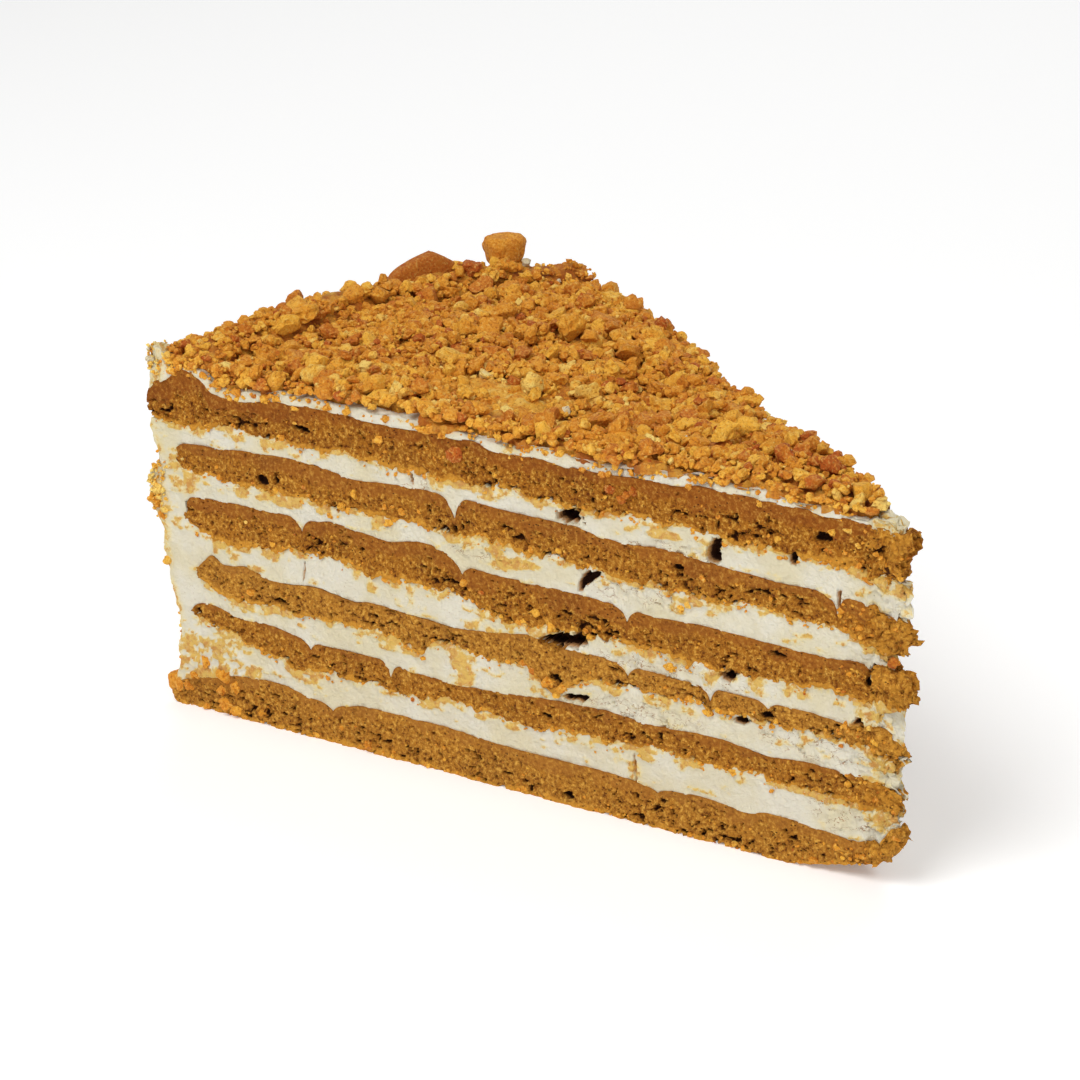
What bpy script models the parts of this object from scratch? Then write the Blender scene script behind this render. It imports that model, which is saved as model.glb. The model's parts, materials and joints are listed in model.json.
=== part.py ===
# A slice of medovik, the layered honey cake, as cut: metres, +Z up.
# The tip points along +X, the rim lies towards -X, and it rests on its bottom sponge.
# Six honey sponges lie between five fillings of soured cream. Cream covers the top and
# coats the rim, and cookie crumbs lie on both.
# A place in the slice is a distance from the rim, along the cut, and a share of the way
# from the front cut (0) to the far cut (1).

import math
import random

import bmesh
import bpy
from mathutils import Euler, Matrix, Vector, noise

CUT_LENGTH = 0.120
HALF_ANGLE = math.radians(18.5)
TIP_X = 0.060
ARC_STEPS = 4
BLUNT_RADIUS = 0.0025
TIP_DRAW = 0.0022
GAP = 0.0003
MERGE = 0.00001
SEED = 37

# Stations along the cut: the coarse ones, one where the layers bend near the rim, and three
# at each dip, as far out as DIP_REACH half widths.
RIM_LIMIT = -0.0030
COARSE_PLACES = [0.003] + [0.012 + 0.009 * step for step in range(12)]
RIM_BEND = 0.0060
DIP_REACH = 1.6
END_MARGIN = 0.0020
LEAST_STEP = 0.0012

# How the lines sway from the front cut to the far one.
FAR_SWAY = 0.0006
SWAY_WAVES = 1.5
SWAY_PHASE = 900
SWAY_FADE = 0.003

# The uneven cuts: depth of the relief, its noise, and how far a setback fades at the tip.
CUT_RELIEF = 0.0008
GRAIN_ALONG, GRAIN_ACROSS, GRAIN_UP = 160, 7, 5
MIDDLE_BULGE = 0.0002
RIM_BULGE, RIM_ROUNDING = 0.0005, 0.0004
SETBACK_FADE = 0.020

# A section is turned with its rows this far apart, and twisted, so that no edge lies
# along a radius.
ROW_MARK = 0.01
TWIST = 0.4

# Each sponge: its name, where its rim end lies, how far its tip reaches past the cuts'
# meeting point, the line of its top, the line of its underside and the dips in its top.
# Lines are (distance from the rim, height). Dips are (distance, depth at the front cut,
# depth at the far cut, half width).
SPONGES = [
    dict(
        name="sponge_1", rim=-0.0024, reach=0.0010,
        top=[(-0.0025, 0.0475), (0.0010, 0.0500), (0.0045, 0.0516), (0.0100, 0.0490),
             (0.0280, 0.0498), (0.0580, 0.0494), (0.0740, 0.0487), (0.0950, 0.0495),
             (0.1200, 0.0488)],
        under=[(-0.0025, 0.0434), (0.0050, 0.0430), (0.0150, 0.0442), (0.0400, 0.0434),
               (0.0600, 0.0436), (0.0760, 0.0428), (0.0850, 0.0438), (0.1050, 0.0430),
               (0.1200, 0.0420)],
        dips=[(0.0610, 0.0, 0.0016, 0.0020)],
    ),
    dict(
        name="sponge_2", rim=0.0023, reach=0.0013,
        top=[(0.0020, 0.0402), (0.0100, 0.0409), (0.0250, 0.0416), (0.0400, 0.0410),
             (0.0600, 0.0407), (0.0850, 0.0400), (0.1020, 0.0388), (0.1200, 0.0370)],
        under=[(0.0020, 0.0373), (0.0080, 0.0360), (0.0300, 0.0358), (0.0600, 0.0355),
               (0.0920, 0.0340), (0.1200, 0.0331)],
        dips=[(0.0510, 0.0034, 0.0, 0.0017), (0.0800, 0.0, 0.0030, 0.0018),
              (0.1100, 0.0030, 0.0, 0.0014)],
    ),
    dict(
        name="sponge_3", rim=0.0035, reach=0.0017,
        top=[(0.0035, 0.0322), (0.0100, 0.0331), (0.0300, 0.0335), (0.0450, 0.0333),
             (0.0570, 0.0314), (0.0740, 0.0310), (0.0900, 0.0306), (0.1080, 0.0301),
             (0.1200, 0.0304)],
        under=[(0.0035, 0.0290), (0.0110, 0.0268), (0.0180, 0.0268), (0.0270, 0.0285),
               (0.0400, 0.0270), (0.0500, 0.0270), (0.0580, 0.0250), (0.0700, 0.0250),
               (0.1050, 0.0252), (0.1200, 0.0260)],
        dips=[(0.0247, 0.0022, 0.0, 0.0016), (0.0520, 0.0020, 0.0, 0.0018),
              (0.0785, 0.0020, 0.0, 0.0018), (0.0360, 0.0, 0.0026, 0.0018)],
    ),
    dict(
        name="sponge_4", rim=0.0055, reach=-0.0002,
        top=[(0.0060, 0.0230), (0.0090, 0.0240), (0.0220, 0.0228), (0.0500, 0.0221),
             (0.0640, 0.0234), (0.0740, 0.0226), (0.0880, 0.0221), (0.1060, 0.0220),
             (0.1200, 0.0215)],
        under=[(0.0060, 0.0200), (0.0120, 0.0184), (0.0350, 0.0187), (0.0600, 0.0186),
               (0.0660, 0.0172), (0.0740, 0.0188), (0.0900, 0.0193), (0.1100, 0.0190),
               (0.1200, 0.0176)],
        dips=[(0.0785, 0.0018, 0.0, 0.0018), (0.0910, 0.0016, 0.0, 0.0012),
              (0.0300, 0.0, 0.0020, 0.0018)],
    ),
    dict(
        name="sponge_5", rim=0.0038, reach=0.0000,
        top=[(0.0020, 0.0155), (0.0080, 0.0167), (0.0200, 0.0156), (0.0350, 0.0148),
             (0.0550, 0.0141), (0.0750, 0.0151), (0.0920, 0.0152), (0.1010, 0.0145),
             (0.1200, 0.0148)],
        under=[(0.0020, 0.0142), (0.0080, 0.0135), (0.0150, 0.0113), (0.0330, 0.0103),
               (0.0600, 0.0103), (0.0850, 0.0111), (0.1200, 0.0111)],
        dips=[(0.0255, 0.0014, 0.0, 0.0015), (0.0395, 0.0020, 0.0, 0.0015),
              (0.0660, 0.0, 0.0020, 0.0018)],
    ),
    dict(
        name="sponge_6", rim=-0.0006, reach=0.0006,
        top=[(0.0000, 0.0036), (0.0060, 0.0052), (0.0120, 0.0066), (0.0260, 0.0062),
             (0.0400, 0.0069), (0.0520, 0.0067), (0.0620, 0.0062), (0.0780, 0.0061),
             (0.0900, 0.0062), (0.1050, 0.0062), (0.1140, 0.0058), (0.1200, 0.0095)],
        under=[(0.0000, 0.0), (0.1040, 0.0), (0.1200, 0.0052)],
        dips=[(0.0290, 0.0012, 0.0, 0.0016), (0.0830, 0.0009, 0.0, 0.0022),
              (0.0500, 0.0, 0.0014, 0.0018)],
    ),
]

# The fillings, from the top one down: where each ends before the rim, and the reach of
# its tip, which stays behind the sponges'.
FILLINGS = [
    dict(name="cream_1", rim=0.0062, reach=-0.0005),
    dict(name="cream_2", rim=0.0070, reach=-0.0030),
    dict(name="cream_3", rim=0.0090, reach=-0.0020),
    dict(name="cream_4", rim=0.0090, reach=-0.0015),
    dict(name="cream_5", rim=0.0060, reach=-0.0005),
]
FILLING_SETBACK = 0.0004

CREAM_TOP = dict(name="cream_top", rim=-0.0016, reach=0.0006)
CREAM_TOP_THICK = 0.0012
CREAM_TOP_STEP = 0.0004
LIP_HEIGHT = 0.0042
LIP_LOW = 0.0008
LIP_WIDTH = 0.0024
LIP_SHARE = 0.12

TOPPING = dict(name="crumb_topping", rim=0.0030, end=0.1120, edge=0.0012)
TOPPING_THIN = 0.0010
TOPPING_HEAP = 0.0017
TOPPING_SHOULDER = 0.7
TOPPING_SPREAD = (0.006, 0.965)
BARE_TIP = 0.011

# A crumb is a rough ball. Its flatness and narrowness are shares of its width, and it lies
# its lift, a share of its radius, above the bed, and clear of the cream.
CRUMB_COUNT = 128
CRUMB_RADIUS = (0.0012, 0.0022)
CRUMB_SPACING = 0.0035
CRUMB_ROUGHNESS = (0.82, 1.12)
CRUMB_FLAT = 0.9
CRUMB_NARROW = 0.7
CRUMB_LIFT = 0.25
CLEAR_OF_CREAM = 1.25
CRUMB_MARGIN = 0.3
FULL_SIZE_FROM_CUT = 0.012
FULL_SIZE_FROM_TIP = 0.040
SQUEEZE_CHANCE = 0.02

# The lumps that stand out: (distance from the tip, angle in degrees, radius, height as a
# share of the width).
LUMPS = [
    (0.1110, 8.5, 0.0030, 0.80), (0.0830, 7.6, 0.0031, 0.80),
    (0.0830, 12.3, 0.0028, 0.70), (0.0490, 10.8, 0.0025, 0.90), (0.1120, -7.7, 0.0028, 0.60),
    (0.0790, -8.5, 0.0026, 0.60), (0.0940, -13.0, 0.0026, 0.60), (0.0300, 9.0, 0.0022, 0.80),
    (0.0450, -13.5, 0.0024, 0.70),
]
LUMP_NARROW = 0.85
# The two pieces of sponge that stand on the crumbs near the rim: distance from the tip,
# angle in degrees, height of the middle, size outwards, along the rim and upwards, lean in
# degrees, and the height left at the end nearer the front cut, as a share.
SHARDS = [
    dict(radius=0.1168, degrees=12.1, level=0.0563, size=(0.0042, 0.0062, 0.0064),
         lean=(0, -4), low_end=1.0),
    dict(radius=0.1168, degrees=5.8, level=0.0557, size=(0.0030, 0.0105, 0.0044),
         lean=(-6, -14), low_end=0.55),
]
SHARD_BEVEL = 0.16

RIM_COAT = dict(name="rim_coat", floor_rim=0.0040)
# How far the coat stands in from the rim's circle at each of its rows, from the bottom.
COAT_OUTSIDE = [0.0004, 0.0014, 0.0016, 0.0006, -0.0002, -0.0012, -0.0022, -0.0022,
                -0.0010, -0.0012]
COAT_HEIGHT = 0.0375
COAT_END_CLEARANCE = 0.0005
COAT_WAVE = 0.0005
COAT_WAVES = 2.5
COAT_WAVE_TURN = 1.9
COAT_CRUMB_COUNT = 40
COAT_CRUMB_SPACING = 0.0065
COAT_CRUMB_RADIUS = (0.0012, 0.0019)
COAT_CRUMB_SHARES = (0.03, 0.97)
COAT_CRUMB_HEIGHTS = (0.0095, 0.0400)
COAT_CRUMB_SINK = 0.0004
COAT_CRUMB_FLAT = 0.8

KNOB_PLACE = (-0.0011, 0.0022)
KNOB_RADIUS = 0.0016
KNOB_FROM_CUT = 0.0006

# Colours are linear red, green and blue.
SPONGE_COLOUR = (0.356, 0.132, 0.020)
CREAM_COLOUR = (0.730, 0.645, 0.440)
COAT_COLOUR = (0.680, 0.530, 0.250)
CRUMB_COLOUR = (0.520, 0.205, 0.027)


def material(name, colour, roughness):
    made = bpy.data.materials.new(name)
    made.use_nodes = True
    surface = made.node_tree.nodes["Principled BSDF"]
    surface.inputs["Base Color"].default_value = (*colour, 1.0)
    surface.inputs["Roughness"].default_value = roughness
    surface.inputs["Metallic"].default_value = 0.0
    return made


# Lines and levels

def slope(knots, i):
    if i == 0 or i == len(knots) - 1:
        return 0.0
    return (knots[i + 1][1] - knots[i - 1][1]) / (knots[i + 1][0] - knots[i - 1][0])


def through(knots, place):
    """A smooth curve through the knots, level beyond its ends."""
    if place <= knots[0][0]:
        return knots[0][1]
    if place >= knots[-1][0]:
        return knots[-1][1]
    i = max(k for k in range(len(knots) - 1) if knots[k][0] <= place)
    span = knots[i + 1][0] - knots[i][0]
    t = (place - knots[i][0]) / span
    rise = 3 * t**2 - 2 * t**3
    return (
        knots[i][1] * (1 - rise)
        + knots[i + 1][1] * rise
        + slope(knots, i) * span * (t**3 - 2 * t**2 + t)
        + slope(knots, i + 1) * span * (t**3 - t**2)
    )


def straightened(knots, place):
    """The same curve, straight between the coarse places, so that neighbours meet."""
    marks = [RIM_LIMIT] + COARSE_PLACES + [CUT_LENGTH]
    for low, high in zip(marks, marks[1:]):
        if place <= high:
            t = max(0.0, (place - low) / (high - low))
            return through(knots, low) * (1 - t) + through(knots, high) * t
    return through(knots, CUT_LENGTH)


def sway(knots, place, share):
    """The line differs a little from the front cut to the far cut."""
    start = knots[0][1]
    bend = math.sin(SWAY_PHASE * start + SWAY_WAVES * math.tau * place / CUT_LENGTH)
    return FAR_SWAY * bend * share * min(1.0, start / SWAY_FADE)


def top_level(sponge, place, share):
    height = straightened(sponge["top"], place) + sway(sponge["top"], place, share)
    for at, front, far, width in sponge["dips"]:
        depth = front * (1 - share) ** 2 + far * share**2
        height -= depth * math.exp(-(((place - at) / width) ** 2))
    return height


def under_level(sponge, place, share):
    height = straightened(sponge["under"], place) + sway(sponge["under"], place, share)
    return max(0.0, height)


def cream_top_level(place, share):
    height = LIP_LOW + (LIP_HEIGHT - LIP_LOW) * math.exp(-((share / LIP_SHARE) ** 2))
    lip = height * math.exp(-((place / LIP_WIDTH) ** 2))
    return top_level(SPONGES[0], place, share) + CREAM_TOP_THICK + lip


def topping_level(place, share):
    """The crumbs' bed, heaped towards the middle of the rim and thin at the cuts."""
    middle = math.sin(math.pi * min(1.0, max(0.0, share))) ** TOPPING_SHOULDER
    from_tip = min(1.0, max(0.0, (CUT_LENGTH - place) / CUT_LENGTH))
    heap = TOPPING_HEAP * middle * from_tip
    return cream_top_level(place, share) + GAP + TOPPING_THIN + heap


# Solids

def places_for(sponges, rim, end):
    """Stations along the cut: the coarse ones, and three at each dip."""
    marks = set(COARSE_PLACES)
    marks.add(RIM_BEND)
    for sponge in sponges:
        for at, _, _, width in sponge["dips"]:
            marks.update((at - DIP_REACH * width, at, at + DIP_REACH * width))
    inside = sorted(mark for mark in marks if rim + END_MARGIN < mark < end - END_MARGIN)
    kept = [rim]
    for mark in inside:
        if mark - kept[-1] > LEAST_STEP:
            kept.append(mark)
    return kept + [end]


def spun_section(places, rows):
    """A flat grid of places and rows, turned about the tip through the slice's angle."""
    bm = bmesh.new()
    columns = len(places) - 1
    bmesh.ops.create_grid(bm, x_segments=columns, y_segments=rows, size=0.5)
    for vert in bm.verts:
        column = round((vert.co.x + 0.5) * columns)
        row = round((vert.co.y + 0.5) * rows)
        radius = CUT_LENGTH - places[column]
        angle = -HALF_ANGLE + TWIST * radius
        vert.co = (-radius * math.cos(angle), radius * math.sin(angle), row * ROW_MARK)
    bmesh.ops.spin(
        bm, geom=bm.verts[:] + bm.edges[:] + bm.faces[:], cent=(0, 0, 0), axis=(0, 0, -1),
        angle=2 * HALF_ANGLE, steps=ARC_STEPS, use_duplicate=False,
    )
    bmesh.ops.recalc_face_normals(bm, faces=bm.faces[:])
    bmesh.ops.triangulate(bm, faces=bm.faces[:], quad_method="SHORT_EDGE")
    return bm


def read_place(vert):
    """A spun vertex's radius, its share of the way round and its row."""
    radius = math.hypot(vert.co.x, vert.co.y)
    angle = math.atan2(vert.co.y, -vert.co.x) - TWIST * radius
    share = min(1.0, max(0.0, (angle + HALF_ANGLE) / (2 * HALF_ANGLE)))
    return radius, share, round(vert.co.z / ROW_MARK)


def set_place(radius, share, setback, reach):
    """Plan position: set back from the cuts, and drawn out at the tip by the reach."""
    angle = HALF_ANGLE * (2 * share - 1)
    x = TIP_X - radius * math.cos(angle)
    y = radius * math.sin(angle)
    if share in (0.0, 1.0):
        inward = setback * min(1.0, radius / SETBACK_FADE) * (1 if share == 0.0 else -1)
        y += inward * math.cos(HALF_ANGLE)
        x -= abs(inward) * math.sin(HALF_ANGLE)
    x += (reach + BLUNT_RADIUS) * math.exp(-((radius - BLUNT_RADIUS) / TIP_DRAW))
    place = CUT_LENGTH - (TIP_X - x) / math.cos(angle)
    return x, y, place


def finish(bm, name, paint, collection):
    mesh = bpy.data.meshes.new(name)
    bm.to_mesh(mesh)
    bm.free()
    made = bpy.data.objects.new(name, mesh)
    made.data.materials.append(paint)
    collection.objects.link(made)
    return made


def sponge_layer(sponge, paint, collection):
    end = CUT_LENGTH - BLUNT_RADIUS
    bm = spun_section(places_for([sponge], sponge["rim"], end), 2)
    for vert in bm.verts:
        radius, share, row = read_place(vert)
        bulge = RIM_BULGE if row == 1 else -RIM_ROUNDING
        at_rim = radius > CUT_LENGTH - sponge["rim"] - LEAST_STEP
        spot = (radius * GRAIN_ALONG, share * GRAIN_ACROSS, row * GRAIN_UP + sponge["rim"] * SWAY_PHASE)
        grain = noise.noise(Vector(spot))
        setback = CUT_RELIEF * grain - (MIDDLE_BULGE if row == 1 else 0.0)
        x, y, place = set_place(radius + bulge * at_rim, share, setback, sponge["reach"])
        low = under_level(sponge, place, share)
        high = top_level(sponge, place, share) - GAP / 2
        low += GAP / 2 if sponge is not SPONGES[-1] else 0.0
        vert.co = (x, y, low + (high - low) * row / 2)
    return finish(bm, sponge["name"], paint, collection)


def cream_layer(cream, places, setback, low_level, high_level, paint, collection):
    bm = spun_section(places, 1)
    for vert in bm.verts:
        radius, share, row = read_place(vert)
        x, y, place = set_place(radius, share, setback, cream["reach"])
        low = low_level(place, share) + GAP / 2
        high = high_level(place, share) - GAP / 2
        vert.co = (x, y, high if row else low)
    return finish(bm, cream["name"], paint, collection)


def filling(index, paint, collection):
    cream = FILLINGS[index]
    above, below = SPONGES[index], SPONGES[index + 1]
    places = places_for([below], cream["rim"], CUT_LENGTH - BLUNT_RADIUS)
    return cream_layer(
        cream, places, FILLING_SETBACK,
        lambda place, share: top_level(below, place, share),
        lambda place, share: under_level(above, place, share),
        paint, collection,
    )


def top_cream(paint, collection):
    places = [CREAM_TOP["rim"], CREAM_TOP_STEP]
    places += places_for([SPONGES[0]], CREAM_TOP_STEP, CUT_LENGTH - BLUNT_RADIUS)[1:]
    return cream_layer(
        CREAM_TOP, places, 0.0,
        lambda place, share: top_level(SPONGES[0], place, share),
        cream_top_level, paint, collection,
    )


def rim_coat(paint, collection):
    """A comb in section: its back covers the rim and its teeth meet the fillings."""
    bm = bmesh.new()
    rows = 2 * len(FILLINGS) - 1
    bmesh.ops.create_grid(bm, x_segments=2, y_segments=rows, size=0.5)
    hollows = [
        face for face in bm.faces
        if face.calc_center_median().x < 0
        and round((face.calc_center_median().y + 0.5) * rows - 0.5) % 2 == 1
    ]
    bmesh.ops.delete(bm, geom=hollows, context="FACES")
    for vert in bm.verts:
        column = round((vert.co.x + 0.5) * 2)
        row = round((vert.co.y + 0.5) * rows)
        vert.co = (-1 - column * ROW_MARK, 0, row * ROW_MARK)
    turn = Matrix.Rotation(HALF_ANGLE, 4, "Z")
    bmesh.ops.transform(bm, matrix=turn, verts=bm.verts[:])
    bmesh.ops.spin(
        bm, geom=bm.verts[:] + bm.edges[:] + bm.faces[:], cent=(0, 0, 0), axis=(0, 0, -1),
        angle=2 * HALF_ANGLE, steps=ARC_STEPS, use_duplicate=False,
    )
    bmesh.ops.recalc_face_normals(bm, faces=bm.faces[:])
    for vert in bm.verts:
        angle = math.atan2(vert.co.y, -vert.co.x)
        share = min(1.0, max(0.0, (angle + HALF_ANGLE) / (2 * HALF_ANGLE)))
        column = round((math.hypot(vert.co.x, vert.co.y) - 1) / ROW_MARK)
        row = round(vert.co.z / ROW_MARK)
        sponge = SPONGES[-1 - (row + 1) // 2]
        cream = FILLINGS[-1 - row // 2]
        inside = sponge["rim"] - COAT_END_CLEARANCE - GAP if 0 < row < rows else RIM_COAT["floor_rim"]
        ins = [cream["rim"] - GAP, inside, COAT_OUTSIDE[row]]
        place = ins[column]
        if column == 2:
            place += COAT_WAVE * math.sin(COAT_WAVES * math.tau * share + row * COAT_WAVE_TURN)
        level = under_level if row % 2 else top_level
        height = level(sponge, max(place, 0.0), share) + (-GAP / 2 if row % 2 else GAP / 2)
        x, y, _ = set_place(CUT_LENGTH - place, share, FILLING_SETBACK, 0.0)
        vert.co = (x, y, height)
    return finish(bm, RIM_COAT["name"], paint, collection)


# Crumbs

def crumb(centre, size, draw, paint, collection):
    """A broken grain: a rough ball of twenty faces, pulled out of shape and turned."""
    bm = bmesh.new()
    bmesh.ops.create_icosphere(bm, subdivisions=1, radius=1.0)
    for vert in bm.verts:
        vert.co *= draw.uniform(*CRUMB_ROUGHNESS)
    spin = Euler([draw.uniform(0, math.tau) for _ in range(3)]).to_matrix()
    bmesh.ops.rotate(bm, verts=bm.verts[:], cent=(0, 0, 0), matrix=spin)
    bmesh.ops.scale(bm, verts=bm.verts[:], vec=size)
    bmesh.ops.translate(bm, verts=bm.verts[:], vec=centre)
    return finish(bm, "crumb", paint, collection)


def far_enough(spot, taken, spacing):
    return all((spot - other).length > spacing for other in taken)


def on_topping(radius, angle):
    """The point of the crumbs' bed at a distance from the tip and an angle."""
    share = 0.5 + 0.5 * angle / HALF_ANGLE
    place = CUT_LENGTH - radius
    spot = Vector((TIP_X - radius * math.cos(angle), radius * math.sin(angle), 0))
    spot.z = topping_level(place, share)
    bed = cream_top_level(max(place, 0.0), share) + GAP
    return spot, bed


def scatter_topping(paint, collection):
    draw = random.Random(SEED)
    taken = []
    for radius, degrees, size, height in LUMPS:
        spot, bed = on_topping(radius, math.radians(degrees))
        spot.z = max(spot.z + CRUMB_LIFT * size * height, bed + CLEAR_OF_CREAM * size * height)
        crumb(spot, (size, LUMP_NARROW * size, height * size), draw, paint, collection)
        taken.append(Vector((spot.x, spot.y, 0)))
    while len(taken) < CRUMB_COUNT + len(LUMPS):
        radius = CUT_LENGTH * math.sqrt(draw.uniform(*TOPPING_SPREAD))
        angle = HALF_ANGLE * draw.uniform(-1, 1)
        from_cut = radius * math.sin(HALF_ANGLE - abs(angle))
        spot, bed = on_topping(radius, angle)
        flat = Vector((spot.x, spot.y, 0))
        full = min(1.0, from_cut / FULL_SIZE_FROM_CUT, radius / FULL_SIZE_FROM_TIP)
        size = CRUMB_RADIUS[0] + (CRUMB_RADIUS[1] - CRUMB_RADIUS[0]) * full * draw.random()
        if from_cut < TOPPING["edge"] + CRUMB_MARGIN * size or radius < BARE_TIP:
            continue
        if not far_enough(flat, taken, CRUMB_SPACING + size) and draw.random() > SQUEEZE_CHANCE:
            continue
        taken.append(flat)
        spot.z = max(spot.z + CRUMB_LIFT * size, bed + CLEAR_OF_CREAM * size)
        shape = (size, size * draw.uniform(CRUMB_NARROW, 1), CRUMB_FLAT * size)
        crumb(spot, shape, draw, paint, collection)


def stand_shard(shard, paint, collection):
    """A blunt block of sponge that stands on the crumbs, lower towards the front cut."""
    angle = math.radians(shard["degrees"])
    spot, _ = on_topping(shard["radius"], angle)
    bm = bmesh.new()
    bmesh.ops.create_cube(bm, size=1.0)
    for vert in bm.verts:
        if vert.co.y < 0:
            vert.co.z = (vert.co.z + 0.5) * shard["low_end"] - 0.5
    bmesh.ops.bevel(bm, geom=bm.edges[:], offset=SHARD_BEVEL, segments=1, affect="EDGES")
    bmesh.ops.scale(bm, verts=bm.verts[:], vec=shard["size"])
    lean = Euler((*(math.radians(tilt) for tilt in shard["lean"]), -angle)).to_matrix()
    bmesh.ops.rotate(bm, verts=bm.verts[:], cent=(0, 0, 0), matrix=lean)
    spot.z = shard["level"]
    bmesh.ops.translate(bm, verts=bm.verts[:], vec=spot)
    finish(bm, "shard", paint, collection)


def scatter_coat(paint, collection):
    draw = random.Random(SEED + 1)
    taken = []
    while len(taken) < COAT_CRUMB_COUNT:
        share = draw.uniform(*COAT_CRUMB_SHARES)
        height = draw.uniform(*COAT_CRUMB_HEIGHTS)
        row = height / COAT_HEIGHT * (len(COAT_OUTSIDE) - 1)
        low = min(len(COAT_OUTSIDE) - 2, int(row))
        place = COAT_OUTSIDE[low] + (COAT_OUTSIDE[low + 1] - COAT_OUTSIDE[low]) * (row - low)
        angle = HALF_ANGLE * (2 * share - 1)
        radius = CUT_LENGTH - place - COAT_CRUMB_SINK
        spot = Vector((TIP_X - radius * math.cos(angle), radius * math.sin(angle), height))
        size = draw.uniform(*COAT_CRUMB_RADIUS)
        if not far_enough(spot, taken, COAT_CRUMB_SPACING) and draw.random() > SQUEEZE_CHANCE:
            continue
        taken.append(spot)
        crumb(spot, (COAT_CRUMB_FLAT * size, size, size), draw, paint, collection)


def knob(paint, collection):
    """The crumb of sponge that sticks out at the foot of the rim."""
    place, height = KNOB_PLACE
    radius = CUT_LENGTH - place
    across = KNOB_FROM_CUT - radius * math.sin(HALF_ANGLE)
    spot = Vector((TIP_X - radius * math.cos(HALF_ANGLE), across, height))
    size = (KNOB_RADIUS, KNOB_RADIUS, CRUMB_FLAT * KNOB_RADIUS)
    crumb(spot, size, random.Random(SEED + 2), paint, collection)


def topping_bed(paint, collection):
    bm = spun_section(places_for([SPONGES[0]], TOPPING["rim"], TOPPING["end"]), 1)
    for vert in bm.verts:
        radius, share, row = read_place(vert)
        x, y, place = set_place(radius, share, TOPPING["edge"], -BLUNT_RADIUS)
        low = cream_top_level(place, share) + GAP / 2
        vert.co = (x, y, topping_level(place, share) if row else low)
    return finish(bm, TOPPING["name"], paint, collection)


def fuse(base, pieces):
    """Join a collection of small pieces to their base in one body, and remove them."""
    union = base.modifiers.new("fused", "BOOLEAN")
    union.operation = "UNION"
    union.operand_type = "COLLECTION"
    union.collection = pieces
    union.solver = "MANIFOLD"
    joined = base.evaluated_get(bpy.context.evaluated_depsgraph_get())
    mesh = bpy.data.meshes.new_from_object(joined)
    base.modifiers.clear()
    base.data = mesh
    for piece in list(pieces.objects):
        bpy.data.objects.remove(piece)
    bpy.data.collections.remove(pieces)
    keep_largest_body(mesh)


def keep_largest_body(mesh):
    """Drop loose scraps, and the walls of any hollow that the fusing sealed."""
    bm = bmesh.new()
    bm.from_mesh(mesh)
    bmesh.ops.remove_doubles(bm, verts=bm.verts[:], dist=MERGE)
    bmesh.ops.dissolve_degenerate(bm, edges=bm.edges[:], dist=MERGE)
    bmesh.ops.triangulate(bm, faces=bm.faces[:])
    bodies = []
    left = set(bm.faces)
    while left:
        body = [left.pop()]
        for face in body:
            beside = {near for edge in face.edges for near in edge.link_faces} & left
            left -= beside
            body.extend(beside)
        bodies.append(body)
    largest = max(bodies, key=len)
    scraps = [face for body in bodies if body is not largest for face in body]
    bmesh.ops.delete(bm, geom=scraps, context="FACES")
    bm.to_mesh(mesh)
    bm.free()


def small_pieces(name):
    made = bpy.data.collections.new(name)
    bpy.context.scene.collection.children.link(made)
    return made


def centre(parts):
    """Move every solid alike, so that the origin is under the middle of the slice."""
    corners = [vert.co for part in parts for vert in part.data.vertices]
    middle_x = (min(c.x for c in corners) + max(c.x for c in corners)) / 2
    middle_y = (min(c.y for c in corners) + max(c.y for c in corners)) / 2
    for part in parts:
        part.data.transform(Matrix.Translation((-middle_x, -middle_y, 0)))
    print("the solids moved by", -middle_x, -middle_y)


def build():
    for old in list(bpy.data.objects):
        bpy.data.objects.remove(old)
    slice_parts = bpy.data.collections.new("medovik_slice")
    bpy.context.scene.collection.children.link(slice_parts)
    cream_paint = material("soured_cream", CREAM_COLOUR, 0.55)
    crumb_paint = material("cookie_crumb", CRUMB_COLOUR, 0.80)

    for sponge in SPONGES:
        paint = material(sponge["name"] + "_honey_sponge", SPONGE_COLOUR, 0.85)
        sponge_layer(sponge, paint, slice_parts)
    for index in range(len(FILLINGS)):
        filling(index, cream_paint, slice_parts)
    top_cream(cream_paint, slice_parts)

    knobs = small_pieces("knobs")
    knob(paint, knobs)
    fuse(slice_parts.objects["sponge_6"], knobs)

    coat = rim_coat(material("crumbed_cream", COAT_COLOUR, 0.70), slice_parts)
    coat_crumbs = small_pieces("coat_crumbs")
    scatter_coat(crumb_paint, coat_crumbs)
    fuse(coat, coat_crumbs)

    bed = topping_bed(crumb_paint, slice_parts)
    crumbs = small_pieces("crumbs")
    scatter_topping(crumb_paint, crumbs)
    for shard in SHARDS:
        stand_shard(shard, crumb_paint, crumbs)
    fuse(bed, crumbs)

    centre(list(slice_parts.objects))


build()
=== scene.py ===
# The looks of the honey cake slice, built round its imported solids. Metres, +Z up.
# A place is a distance from the rim along the cut, and a share runs from the front cut, 0,
# to the far cut, 1. Lists of points are in millimetres, and inMetres turns them to metres.

import itertools
import json
import math

import bmesh
import bpy
import numpy as np
from mathutils import Matrix, Vector


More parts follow.
